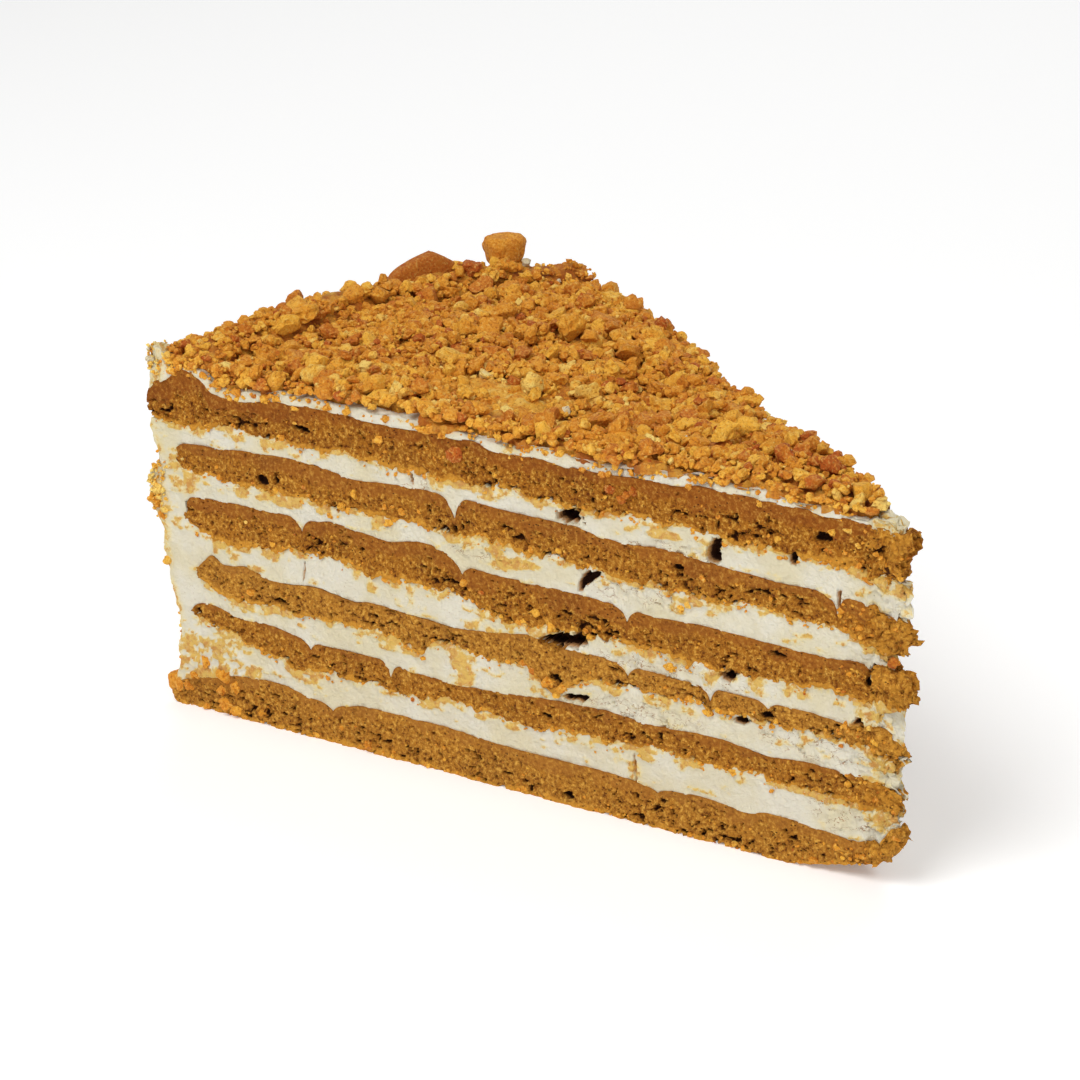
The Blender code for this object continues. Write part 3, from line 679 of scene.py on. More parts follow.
def spongeRelief(sponge, place, height, share, depth):
    # relief of a cut through a sponge, how open its crumb is and how deep in a pit it is, which sets the
    # painted shade in the pit
    points = stacked(place, height, 0.05 * share)
    seed = numberOf(sponge) * 10
    wander = 0.16 * roughNoise(points / 0.006, seed + 1, 3)
    wander = wander + 0.14 * roughNoise(points / 0.0015, seed + 11, 3)
    crumbly = ramp(sponge["smooth"] - 0.18, sponge["smooth"] + 0.16, depth + wander)
    near, _ = cellNoise(points / crag["lump"], seed + 2)
    lump = crag["lumpDepth"] * (0.55 - near + 0.45 * roughNoise(points / 0.0007, seed + 8, 2))
    broad = crag["broadDepth"] * roughNoise(points / crag["broad"], seed + 3, 4)
    flat = points / np.array([crag["pitLong"], crag["pitTall"], 0.001])
    hole = roughNoise(flat, seed + 4, 3) + 0.40 * softNoise(points / crag["cluster"], seed + 7)
    pit = ramp(0.58, 0.90, hole + 0.12 * (depth - 0.5)) * crumbly
    few = ramp(0.92, 1.10, roughNoise(flat * 1.3, seed + 5, 3)) * (1 - crumbly)
    pit = np.maximum(pit, 0.6 * few)
    relief = broad * (0.45 + 0.55 * crumbly) + lump * (0.22 + 0.78 * crumbly)
    relief = relief - crag["pitDepth"] * pit
    gold = ramp(0.74, 1.0, depth + 0.10 * roughNoise(points / 0.003, seed + 6, 3))
    return relief, crumbly, pit, gold * crumbly


def makeSponge(sponge, material):
    columns = round((cutEnd - sponge["rim"]) / crag["cell"])
    thick = halfWay(topOf, sponge) - halfWay(underOf, sponge)
    shows = sponge["name"] in ("sponge_1", "sponge_6")  # bare at the rim
    mesh, column, row, share = spunSlab(
        columns, round(thick / crag["cell"]), cake["steps"], rimCuts=15 if shows else 0
    )
    seed = numberOf(sponge)
    place = sponge["rim"] + (cutEnd - sponge["rim"]) * column
    bulge = np.sqrt(np.clip(1 - (2 * row - 1) ** 2, 0, 1))  # round at the rim
    place = place + crag["round"] * (1 - bulge) * np.maximum(0, 1 - column * columns / 6)
    nearTip = ramp(0.97, 1.0, column)
    nearRim = np.exp(-(place - sponge["rim"]) / 0.0016)
    frayed = roughNoise(stacked(place, 0.004 * row, 0.03 * share + seed) / crag["fraySize"], seed + 80, 4)
    place = place + crag["fray"] * nearRim * frayed * (0 if shows else 1)
    x, y, at = planOf(place, share, sponge["reach"] + tipReach(sponge, row, share) * nearTip)
    low, high = lowerEdge(sponge, at, share), topOf(sponge, at, share)
    z = low + (high - low) * row
    relief, crumbly, pit, gold = spongeRelief(sponge, at, z, share, 1 - row)
    inside, hollow = hollowAt(at, z, share)
    points = pushCut(stacked(x, y, z), share, at, relief - hollow)
    onRim = column == 0
    arc = alongRim(share, z)
    near, _ = cellNoise(arc / crag["rimLump"], seed + 60)
    bumps = crag["rimLumpDepth"] * (0.6 - near) + 0.0005 * roughNoise(arc / 0.004, seed + 61, 4)
    angle = cake["halfAngle"] * (2 * share - 1)
    outward = stacked(-np.cos(angle), np.sin(angle), 0 * x)
    points[onRim] += (bumps - 0.0002)[onRim, None] * outward[onRim]
    onCut = onCuts(share) | onRim | (column == 1)
    points = roughenTip(points, at)
    crumbly = np.maximum(crumbly, ramp(0.1120, tip["full"], at))
    tipGold = 0.66 * ramp(0.1080, tip["full"], at)
    # painted shade in the crevices between the rim's lumps
    pit = np.maximum(pit, ramp(0.75, 1.05, near) * 0.7 * onRim)
    # painted shade is carried here: near black inside the hollows, and dark in the pits and in the rim's
    # crevices
    return dress(
        mesh, sponge["name"] + "_crumb", points, [sponge["name"]], "sponge", material,
        crumbly=crumbly, pit=pit * onCut, void=inside, gold=np.maximum(gold, tipGold) * onCut,
        pale=0 * x + sponge["pale"],
    )


# Cream

# smears is how much crumb is rubbed into the cream under the sponge above.
fillings = [
    dict(name="cream_1", rim=0.0059, reach=-0.0006, smears=0.40),
    dict(name="cream_2", rim=0.0067, reach=-0.0036, smears=0.44),
    dict(name="cream_3", rim=0.0087, reach=-0.0022, smears=0.42),
    dict(name="cream_4", rim=0.0087, reach=-0.0016, smears=0.38),
    dict(name="cream_5", rim=0.0057, reach=-0.0014, smears=0.40),
]
# The cream lies back from the sponges' cuts by setback. It runs into the sponges by overlap,
# and lies back by recess there.
spread = dict(cell=0.00024, setback=0.00014, broad=0.006, broadDepth=0.00020, drag=0.0014,
              dragDepth=0.00012, overlap=0.0009, recess=0.0020, flake=0.00030, crackDepth=0.00030,
              smearHeight=0.00025, smearReach=0.0013)

# Where the cream is torn into cracked flakes: place, height, half length, half height.
tornAreas = inMetres([
    (90, 38, 9, 1.2), (86, 23.2, 12, 1.8), (81, 33, 9, 1.8), (80, 16, 12, 1.6), (110, 36.5, 6, 2.6),
    (44, 42, 3, 1.4), (56, 34, 6, 1.2), (108, 17, 10, 1.8), (112, 9, 6, 3), (85, 40, 8, 1.2),
    (30, 40, 8, 1),
])
# Crumb rubbed into the cream of the front cut: place, height, half length, half height and
# strength.
stains = inMetres([
    (6, 35.2, 2.4, 1.6, 0.62), (2, 33.5, 1.8, 4.4, 0.46), (20.5, 35.2, 6, 0.8, 0.42),
    (9.8, 26.6, 1.6, 0.8, 0.55), (17.8, 26.5, 1.2, 0.6, 0.50), (60, 33.8, 4.8, 1.3, 0.50),
    (83.5, 42, 2.4, 0.7, 0.46), (86.2, 32.4, 1.2, 0.8, 0.40), (51.5, 15.5, 1.8, 2.4, 0.46),
    (37, 25, 1.2, 0.9, 0.42), (64.2, 9, 1, 2.2, 0.36), (52, 7.2, 1, 0.8, 0.36), (46.2, 10, 1.2, 1, 0.40),
    (102.7, 16.7, 1.8, 1, 0.42), (105, 10.2, 1.4, 0.8, 0.42), (81.5, 10, 1.8, 0.7, 0.46),
    (15.8, 24.1, 1.6, 0.7, 0.50), (86, 24.7, 4, 1.2, 0.46), (114.5, 13, 3, 2.2, 0.50),
    (66.5, 17.3, 3, 1.4, 0.56), (115, 22.5, 3, 2, 0.44), (116.5, 40, 3, 2.6, 0.46),
    (117, 33, 3, 1.6, 0.40), (74, 10, 5, 0.9, 0.42), (13, 41.7, 5, 0.6, 0.30), (56, 23.2, 4, 0.8, 0.40),
    (6, 41.8, 2.4, 1.6, 0.32),
], 4)
# The corner at the foot of the rim, where the cream is full of crumb.
corner = dict(left=0.0, right=0.0190, high=0.0128, strength=0.62)


def inSponge(place, height, share):
    # how far a point of a cut is inside the outline of a sponge
    depth = np.zeros(len(place))
    for sponge in sponges:
        room = np.minimum(
            height - lowerEdge(sponge, place, share), topOf(sponge, place, share) - height
        )
        room = np.minimum(room, place - sponge["rim"] - 0.0003)
        depth = np.maximum(depth, room)
    return depth


def farFrom(area, place, height):
    # 1 on the edge of an area's ellipse, less inside it
    at, level, long, tall = area
    return ((place - at) / long) ** 2 + ((height - level) / tall) ** 2


def creamRelief(place, height, share, smears):
    # relief of a cut through cream, its cracks and the crumb smeared under a sponge
    points = stacked(place, height, 0.05 * share + 0.3)
    below = np.full(len(place), 9.0)
    for sponge in sponges[:-1]:
        gap = lowerEdge(sponge, place, share) - height
        below = np.where((gap > -0.0004) & (place > sponge["rim"]), np.minimum(below, np.abs(gap)), below)
    broad = spread["broadDepth"] * roughNoise(points / spread["broad"], 91, 3)
    stretched = points / np.array([spread["drag"] * 1.2, spread["drag"], 0.01])
    drag = spread["dragDepth"] * (roughNoise(stretched, 95, 4) + 0.5 * roughNoise(points / 0.0006, 96, 2))
    torn = np.zeros(len(place))
    for area in tornAreas:
        far = farFrom(area, place, height) + 0.3 * roughNoise(points / 0.002, 97, 2)
        torn = np.maximum(torn, ramp(1.3, 0.5, far))
    ridge = np.abs(roughNoise(points / np.array([0.0030, 0.0015, 0.01]), 99, 3))
    crack = ramp(0.060, 0.0, ridge) * torn
    flakes = spread["flake"] * torn * roughNoise(points / 0.0012, 103, 3)
    blob = roughNoise(points / np.array([0.0024, 0.0012, 0.01]), 107, 5)
    likely = smears * np.exp(-((below / spread["smearReach"]) ** 1.5)) + 0.03
    likely = likely + 0.22 * ramp(0.1120, 0.1180, place)
    for *area, strength in stains:
        far = farFrom(area, place, height)
        likely = np.maximum(likely, strength * np.exp(-0.5 * far**1.5) * (share < 0.01))
    across = (place - corner["left"]) / (corner["right"] - corner["left"])
    full = corner["strength"] * (1 - 0.45 * ramp(0.2, 1.0, across)) * ramp(1.05, 0.80, across)
    full = full * ramp(corner["high"] + 0.001, corner["high"] - 0.001, height + 0.002 * across)
    speckled = 0.85 + 0.8 * roughNoise(points / 0.0009, 109, 4)
    likely = np.maximum(likely, full * speckled)
    smear = ramp(-0.35, 0.45, blob - (0.80 - 2.4 * likely))
    relief = broad + drag + flakes - spread["crackDepth"] * crack + spread["smearHeight"] * smear
    recess = spread["recess"] * ramp(0.0001, 0.0008, inSponge(place, height, share))
    return relief - recess, torn, smear


def makeFilling(cream, above, beneath, material):
    columns = round((cutEnd - cream["rim"]) / spread["cell"])
    gap = halfWay(underOf, above) - halfWay(topOf, beneath)
    rows = round((gap + 2 * spread["overlap"]) / spread["cell"])
    mesh, column, row, share = spunSlab(columns, rows, cake["steps"])
    place = cream["rim"] + (cutEnd - cream["rim"]) * column
    ragged = roughNoise(stacked(share * 2.5, row * 2.2, 0 * row + numberOf(cream) - 1), 170, 3)
    x, y, at = planOf(place, share, cream["reach"] + 0.0014 * ragged * ramp(0.96, 1.0, column))
    low = topOf(beneath, at, share) - spread["overlap"]
    high = underOf(above, at, share) + spread["overlap"]
    z = low + (high - low) * row
    relief, crack, smear = creamRelief(at, z, share, cream["smears"])
    inside, hollow = hollowAt(at, z, share)
    points = pushCut(stacked(x, y, z), share, at, relief - hollow - spread["setback"])
    points = roughenTip(points, at)
    onCut = onCuts(share) | (column == 1)
    # pit is how far inside a hollow a point is, for the painted shade there
    return dress(
        mesh, cream["name"] + "_filling", points, [cream["name"]], "cream", material,
        crack=crack * onCut, smear=smear * onCut * (1 - inside), pit=inside,
    )


# The rim's coat

coat = dict(
    bottom=0.0037, top=0.0436, tooth=0.0110, cell=0.0003, rimCuts=17, clearAbove=0.0008,
    clearBehind=0.0017, spongeTop=0.0478,
    outside=inMetres([
        (4.2, 0.6), (6.4, 1.2), (10.5, 1.4), (13.5, 1.6), (17, 0.8), (20, 0.2), (24, -0.4), (27, -0.8),
        (29, -1.8), (32, -2.6), (35, -2.6), (37, -1.2), (39, -1), (42, -1.6), (44, -1.8),
    ]),
)


def coatOutside(share, height):
    # place of the coat's outer face, wavy away from the front cut
    arc = alongRim(share, height)
    wave = 0.0006 * roughNoise(arc / 0.009, 131, 3) * ramp(0.0, 0.06, share)
    return lineThrough(coat["outside"], height) + wave


def betweenTeeth(column, row):
    # true where the section's comb is open for the end of a sponge
    height = coat["bottom"] + (coat["top"] - coat["bottom"]) * row
    place = coat["tooth"] * column
    at = np.array([max(place, 0.001)])
    for sponge in sponges[1:-1]:
        low, high = float(underOf(sponge, at, 0 * at)[0]), float(topOf(sponge, at, 0 * at)[0])
        level = low + coat["clearAbove"] < height < high - coat["clearAbove"]
        if level and place > sponge["rim"] + coat["clearBehind"]:
            return True
    return False


def makeCoat(material):
    rows = round((coat["top"] - coat["bottom"]) / coat["cell"])
    columns = round(coat["tooth"] / coat["cell"])
    mesh, column, row, share = spunSlab(columns, rows, cake["steps"], coat["rimCuts"], betweenTeeth)
    z = coat["bottom"] + (coat["top"] - coat["bottom"]) * row
    outer = coatOutside(share, z)
    place = outer + (coat["tooth"] - outer) * column
    arc = alongRim(share, z)
    near, _ = cellNoise(arc / 0.0015, 133)
    crumbs = ramp(-0.10, 0.30, roughNoise(arc / 0.0045, 135, 4) + 0.10)
    relief = 0.00035 * roughNoise(arc / 0.0022, 137, 4) + 0.0005 * (0.6 - near) * crumbs
    onOut = column == 0
    x, y, at = planOf(place - relief * onOut, share, 0.0)
    cutRelief, crack, smear = creamRelief(at, z, share, 0.36)
    mottle = roughNoise(stacked(at, z, 0.05 * share) / 0.0022, 139, 4)
    yellow = np.exp(-(((z - 0.0325) / 0.0048) ** 2))
    crumby = ramp(0.0016 + 0.0042 * yellow, 0.0, at - outer) * (0.60 + 0.5 * mottle)
    inside, hollow = hollowAt(at, z, share)
    points = pushCut(stacked(x, y, z), share, at, cutRelief - hollow - spread["setback"])
    onCut = onCuts(share)
    tint = np.where(onOut, np.maximum(0.30 + 0.25 * mottle, crumbs * ramp(0.85, 0.35, near)),
                    np.maximum(smear, crumby) * onCut)
    # pit is how far inside a hollow a point is, for the painted shade there
    return dress(
        mesh, "rim_coat_cream", points, ["rim_coat"], "coat", material,
        crack=crack * onCut, smear=tint, pit=inside,
    )


# The cream on top

# The lip stands along the rim at the front corner, as far as lipShare of the way to the far cut.
topCream = dict(rim=-0.0016, reach=-0.0016, thick=0.0012, lip=0.0042, lipLow=0.0010,
                lipWidth=0.0014, lipShare=0.06, cell=0.0003, steps=40)


def creamTopAt(place, share):
    c = topCream
    front = np.exp(-((share / c["lipShare"]) ** 2))
    height = c["lipLow"] + (c["lip"] - c["lipLow"]) * front
    lip = height * np.exp(-(((place + 0.0004) / c["lipWidth"]) ** 2))
    spots = stacked(place, 0.06 * share, 0 * place)
    thick = c["thick"] * (1 + 0.35 * roughNoise(spots / 0.005, 157, 3))
    thick = thick * (1 - 0.85 * front * np.exp(-(((place - 0.0048) / 0.0024) ** 2)))
    thick = thick * (1 - 0.55 * ramp(0.095, 0.112, place))
    return topOf(sponges[0], place, share) + thick + lip


def makeTopCream(material):
    c = topCream
    columns = round((cutEnd - c["rim"]) / c["cell"])
    mesh, column, row, share = spunSlab(columns, 8, c["steps"])
    share = share**1.5  # closer steps at the front, where the lip is
    place = c["rim"] + (cutEnd - c["rim"]) * column
    x, y, at = planOf(place, share, c["reach"])
    plan = stacked(x, y, 0 * x)
    swirl = 0.00035 * roughNoise(plan / 0.004, 151, 4)
    low, high = topOf(sponges[0], at, share) - 0.0005, creamTopAt(at, share) + swirl
    z = low + (high - low) * row
    relief, _, smear = creamRelief(at, z, share, 0.0)
    nearRim = ramp(0.0030, 0.0, at)
    speckled = 0.55 + 0.40 * roughNoise(stacked(at, z, cake["rimArc"] * share) / 0.0012, 158, 3)
    smear = np.maximum(smear, speckled * nearRim + 0.22 * ramp(0.108, 0.118, at))
    edge = -0.0005 * row**3 + 0.00035 * roughNoise(stacked(at, 0 * at, share) / 0.003, 153, 3)
    points = pushCut(stacked(x, y, z), share, at, relief + edge)
    points += 0.0005 * nearRim[:, None] * shaken(points, 0.0018, (155, 156, 157))
    points = roughenTip(points, at)
    return dress(
        mesh, "top_cream", points, ["cream_top"], "cream", material,
        crack=0 * z, smear=smear, pit=0 * z,
    )


# The crumb topping

# The bed that the crumbs lie on is thin at its edges, and heap is how much higher its middle is.
topping = dict(rim=0.0008, end=0.1135, thin=0.0005, heap=0.0020, cell=0.00045, steps=130)
# How far the crumbs stay back from the front cut: place and distance.
frontLine = inMetres([
    (-3, 1.2), (5.5, 0.9), (8.5, 1.1), (12, 0.8), (16, 1.2), (19, 0.4), (21, 1.1), (30, 1.4), (40, 2.2),
    (44, 2.6), (46, 0), (51, 0), (53, 1), (62, 0.7), (75, 0.6), (86, 0.1), (95, 0.3), (104, 0), (110, 0),
    (113, 0.8), (120, 6),
])


def finePatch(radius, degrees):
    # where the photo shows only fine, pale crumbs
    return np.exp(-(((radius - 0.068) / 0.012) ** 2 + ((degrees + 8.5) / 5.0) ** 2))


def beddingAt(place, share):
    across = np.sin(np.pi * np.clip(share, 0, 1)) ** 0.7
    fromTip = np.clip((cake["cutLength"] - place) / cake["cutLength"], 0, 1)
    heap = topping["heap"] * across * fromTip * ramp(-0.001, 0.004, place)
    return creamTopAt(place, share) + topping["thin"] + heap


def makeBedding(material):
    c = topping
    columns = round((c["end"] - c["rim"]) / c["cell"])
    mesh, column, row, share = spunSlab(columns, 2, c["steps"])
    frayed = roughNoise(alongRim(share, 0 * share) / 0.0016, 163, 3)
    place = c["rim"] + (c["end"] - c["rim"]) * column + 0.0007 * frayed * ((column == 0) | (column == 1))
    radius = cake["cutLength"] - place
    back = lineThrough(frontLine, place) / np.maximum(radius, 0.004) / (2 * cake["halfAngle"])
    inset = np.clip(back + share * (1 - back - 0.008), 0, 1)
    x, y, at = planOf(place, inset, -cake["blunt"])
    plan = stacked(x, y, 0 * x)
    near, tone = cellNoise(plan / 0.0014, 161)
    nearFine, _ = cellNoise(plan / 0.0007, 165)
    rise = 0.0008 * (0.7 - near) + 0.0004 * (0.6 - nearFine) + 0.0006 * roughNoise(plan / 0.005, 167, 3)
    high = beddingAt(at, inset) + rise * (row > 0.4)
    low = creamTopAt(at, inset) - 0.0004
    ragged = 0.0008 * roughNoise(plan / 0.0012, 169, 3) * onCuts(share)
    z = np.maximum(low + (high - low) * row, low)
    points = pushCut(stacked(x, y, z), share, at, ragged)
    fine = finePatch(cake["cutLength"] - at, (2 * inset - 1) * halfDegrees)
    # painted shade: the bed, seen only between the crumbs, is darker where it lies low at its cells' edges,
    # and less so in the fine patch
    pit = (0.45 + 0.55 * ramp(0.45, 0.85, near)) * (1 - 0.8 * fine)
    return dress(
        mesh, "crumb_bedding", points, ["crumb_topping"], "crumbs", material,
        tone=0.25 + 0.5 * tone + 0.15 * fine, pit=pit,
    )


def crumbShapes(kind):
    # rough lumps with a few broken faces, on unit spheres
    shapes = []
    draw = np.random.default_rng(kind["seed"])
    for number in range(kind["shapes"]):
        bm = bmesh.new()
        bmesh.ops.create_icosphere(bm, subdivisions=kind["subdivisions"], radius=1.0)
        co = np.array([v.co for v in bm.verts])
        faces = np.array([[v.index for v in f.verts] for f in bm.faces])
        bm.free()
        near, _ = cellNoise(co * 1.35 + number * 5.1, kind["seed"] + 7)
        rough = 0.34 * roughNoise(co * 1.25 + number * 3.3, kind["seed"] + 5, 2)
        fine = 0.13 * softNoise(co * 3.6 + number * 2.9, kind["seed"] + 9)
        if kind["subdivisions"] > 2:  # grains on the larger ones
            grain, _ = cellNoise(co * 2.6 + number * 1.7, kind["seed"] + 11)
            fine = fine + 0.16 * (0.5 - grain)
        co = co * (1.10 - 0.34 * near + rough + fine)[:, None]
        for _ in range(5):
            facing = draw.normal(size=3)
            facing /= np.linalg.norm(facing)
            over = np.maximum(0, co @ facing - draw.uniform(0.48, 0.85))
            co = co - over[:, None] * facing
        co = co * draw.uniform(0.72, 1.18, 3)
        shapes.append(co)
    return np.array(shapes), faces


def turned(draw, count):
    # a random turn for each crumb
    q = draw.normal(size=(count, 4))
    w, x, y, z = (q / np.linalg.norm(q, axis=1)[:, None]).T
    return stacked(
        stacked(1 - 2 * (y * y + z * z), 2 * (x * y - w * z), 2 * (x * z + w * y)),
        stacked(2 * (x * y + w * z), 1 - 2 * (x * x + z * z), 2 * (y * z - w * x)),
        stacked(2 * (x * z - w * y), 2 * (y * z + w * x), 1 - 2 * (x * x + y * y)),
    )


def joinCrumbs(kind, spots, sizes, tones, slot, material, stretch=None):
    shapes, faces = crumbShapes(kind)
    draw = np.random.default_rng(kind["seed"] + 100)
    count, per = len(spots), shapes.shape[1]
    which = draw.integers(0, len(shapes), count)
    co = np.einsum("nij,nvj->nvi", turned(draw, count), shapes[which])
    if stretch is None:
        stretch = np.tile([1.0, 1.0, 0.88], (count, 1))
    co = co * (np.asarray(sizes)[:, None] * stretch)[:, None, :]
    co = (co + np.asarray(spots)[:, None, :]).reshape(-1, 3)
    joined = (faces[None] + (np.arange(count) * per)[:, None, None]).reshape(-1, 3)
    mesh = bpy.data.meshes.new(kind["name"])
    mesh.from_pydata(co, [], joined)
    tone = np.clip(np.repeat(tones, per), 0.02, 1.4)
    sharp = 32 if kind["subdivisions"] < 3 else 40
    return dress(mesh, kind["name"], co, None, slot, material, sharp=sharp, tone=tone, pit=0 * tone)


def between(kind, part):
    return kind["low"] + (kind["high"] - kind["low"]) * part


class Pile:
    # the height of the crumbs so far, on a square grid in plan
    def __init__(self, cell=0.0003):
        low, high = cadBox
        self.cell, self.x0, self.y0 = cell, low.x - 0.004, low.y - 0.004
        gx, gy = np.meshgrid(
            np.arange(self.x0 + cell / 2, high.x + 0.004, cell),
            np.arange(self.y0 + cell / 2, high.y + 0.004, cell), indexing="ij",
        )
        radius = np.hypot(gx - cake["tipX"], gy - cake["midY"])
        angle = np.arctan2(gy - cake["midY"], cake["tipX"] - gx)
        place, share = cake["cutLength"] - radius, (angle / cake["halfAngle"] + 1) / 2
        inside = (share > 0) & (share < 1) & (place > -0.0015)
        ground = beddingAt(place.ravel(), np.clip(share, 0, 1).ravel()).reshape(place.shape)
        self.height = np.where(inside, ground, np.nan)
        self.limit = self.height + 0.0015 + 0.0008 * ramp(0.002, 0.012, place)
        self.gx, self.gy = gx, gy

    def part(self, x, y, reach):
        i, j, n = int((x - self.x0) / self.cell), int((y - self.y0) / self.cell), int(reach / self.cell) + 1
        return slice(max(0, i - n), i + n + 1), slice(max(0, j - n), j + n + 1)

    def drop(self, x, y, size, sink, roll):
        # lets a crumb roll to the lowest place near it, and returns its centre
        if roll:
            near = self.part(x, y, size * roll)
            levels = self.height[near]
            if np.isnan(levels).all():
                return None
            lowest = np.unravel_index(np.nanargmin(levels), levels.shape)
            x, y = self.gx[near][lowest], self.gy[near][lowest]
        part = self.part(x, y, size)
        away = np.hypot(self.gx[part] - x, self.gy[part] - y) / size
        levels = self.height[part]
        under = levels[away < 0.7]
        if not len(under) or np.isnan(under).all() or (under > self.limit[part][away < 0.7]).any():
            return None
        z = np.nanmean(under) + size * sink
        dome = z + 0.70 * size * np.sqrt(np.clip(1 - away**2, 0, 1)) - 0.15 * size
        self.height[part] = np.where(away < 0.85, np.fmax(levels, dome), levels)
        return x, y, z


# sink is how far a crumb's centre is above what it lies on and roll how far it looks for the
# lowest place, both as shares of its size, the half width from low to high.
crumbKinds = [
    dict(name="crumbs_large", count=480, low=0.0011, high=0.0020, subdivisions=3, shapes=40,
         seed=201, sink=0.62, roll=0),
    dict(name="crumbs_medium", count=2300, low=0.00064, high=0.00120, subdivisions=2, shapes=40,
         seed=211, sink=0.55, roll=1.2),
    dict(name="crumbs_small", count=5000, low=0.00028, high=0.00060, subdivisions=1, shapes=60,
         seed=221, sink=0.3, roll=1.5),
    dict(name="crumb_dust", count=2500, low=0.00016, high=0.00028, subdivisions=1, shapes=30,
         seed=231, sink=-0.2, roll=2.0),
]
# The lumps that stand out: distance from the tip, half width, angle in degrees, how far the
# centre is above what the lump lies on, tone and stretch along x, y and z.
lumps = inMetres([
    (111, 2.5, 8.5, 0.50, 0.16, (1.1, 1.0, 0.8)), (82, 2.6, 7.6, 0.70, 0.50, (1.0, 1.15, 0.85)),
    (83.4, 2.4, 12.3, 0.55, 0.26, (1.3, 0.8, 0.7)), (49, 2, 10.8, 0.45, 0.20, (1.1, 1.0, 0.8)),
    (112.5, 2.3, -7.7, 0.50, 0.52, (1.0, 1.1, 0.8)), (79, 2.1, -8.5, 0.45, 0.40, (1.0, 1.2, 0.8)),
    (94, 2, -13.0, 0.50, 0.60, (1.1, 0.9, 0.9)), (30, 1.8, 9.0, 0.40, 0.50, (1.0, 1.0, 0.9)),
    (45, 1.9, -13.5, 0.45, 0.45, (1.2, 0.9, 0.8)), (45, 2, 5.3, 0.45, 0.55, (1.0, 1.1, 0.8)),
    (97, 2.1, 2.0, 0.50, 0.45, (1.2, 1.0, 0.8)),
], 2)


def spotAt(radius, degrees):
    angle = math.radians(degrees)
    return cake["tipX"] - radius * math.cos(angle), cake["midY"] + radius * math.sin(angle)


# The two pieces of sponge at the back of the rim and the one at its foot: distance from the
# tip, angle, height of the middle, half sizes outwards, along the rim and upwards, and how
# much wider each is above.
shards = [
    dict(name="big_crumb", radius=0.1172, degrees=12.1, level=0.0569, half=(0.0020, 0.0031, 0.0026),
         flare=0.16, peak=0.0, tone=0.33, seed=23),
    dict(name="sponge_flake", radius=0.1172, degrees=5.4, level=0.0560, half=(0.0014, 0.0066, 0.0028),
         flare=-0.10, peak=0.16, tone=0.16, seed=31),
    dict(name="foot_crumb", radius=0.1200, degrees=-18.1, level=0.0029, half=(0.0015, 0.0012, 0.0014),
         flare=0.0, peak=0.0, tone=0.34, seed=37),
]


def makeShard(shard, material):
    # a blunt block, lower towards its ends where it comes to a peak
    bm = bmesh.new()
    bmesh.ops.create_icosphere(bm, subdivisions=5, radius=1.0)
    mesh = meshFrom(bm, shard["name"])
    co = pointsOf(mesh)
    co = np.sign(co) * np.abs(co) ** 0.62
    near, _ = cellNoise(co * 1.1 + shard["seed"], shard["seed"])
    rough = 0.04 if shard["peak"] else 0.12
    co = co * (1.0 + rough * (0.6 - near) + rough * roughNoise(co * 1.2, shard["seed"] + 4, 4))[:, None]
    co[:, :2] *= (1 + shard["flare"] * co[:, 2:3])
    if shard["peak"]:
        away = np.abs(co[:, 1] - shard["peak"]) / np.where(co[:, 1] > shard["peak"], 0.75, 1.25)
        co[:, 2] = -1 + (co[:, 2] + 1) * np.clip(1 - 0.40 * away, 0.2, 1)
    angle = math.radians(shard["degrees"])
    outward = np.array([-math.cos(angle), math.sin(angle), 0.0])
    along = np.array([math.sin(angle), math.cos(angle), 0.0])
    x, y = spotAt(shard["radius"], shard["degrees"])
    size = co * np.array(shard["half"])
    points = size[:, :1] * outward + size[:, 1:2] * along + size[:, 2:] * np.array([0, 0, 1.0])
    points += np.array([x, y, shard["level"]])
    dress(mesh, shard["name"], points, None, "crumbs", material, sharp=None,
          tone=np.full(len(co), shard["tone"]), pit=np.full(len(co), 0.4 * (shard["peak"] > 0)))


def placeLumps(pile, material):
    spots, sizes, tones, stretches = [], [], [], []
    for radius, size, degrees, lift, tone, stretch in lumps:
        spots.append(pile.drop(*spotAt(radius, degrees), size, lift, 0))
        sizes.append(size)
        tones.append(tone)
        stretches.append(stretch)
    kind = dict(name="crumb_lumps", subdivisions=4, shapes=12, seed=191)
    joinCrumbs(kind, spots, sizes, np.array(tones), "crumbs", material, np.array(stretches))
    for shard in shards:
        makeShard(shard, material)


def crumbChoices(kind):
    # distances from the tip, angles, sizes and tones to try for one kind of crumb
    draw = np.random.default_rng(kind["seed"])
    tries = kind["count"] * 4
    radius = cake["cutLength"] * np.sqrt(draw.uniform(0.002, 1.018, tries))
    degrees = draw.uniform(-halfDegrees, halfDegrees, tries)
    size = between(kind, draw.random(tries) ** 1.7)
    keep = lineThrough(frontLine, cake["cutLength"] - radius) * draw.uniform(0.3, 1.2, tries)
    fromFront = radius * np.sin(np.radians(halfDegrees + degrees))
    fromFar = radius * np.sin(np.radians(halfDegrees - degrees))
    good = (fromFront > keep + 0.3 * size) & (fromFar > 0.4 * size) & (radius > 0.0065)
    fine = finePatch(radius, degrees)
    good &= (size < 0.0006) | (draw.random(tries) > 0.95 * fine)
    good &= (size < 0.0008) | (radius < 0.110) | (degrees < 13.5)  # none large at the far corner
    tone = draw.normal(0.42, 0.20, tries) + 0.26 * fine + 0.25 * ramp(0.020, 0.006, radius)
    tone = tone + (draw.random(tries) > 0.997) * (size < 0.001)  # a few are cream
    return radius[good], degrees[good], size[good], tone[good]


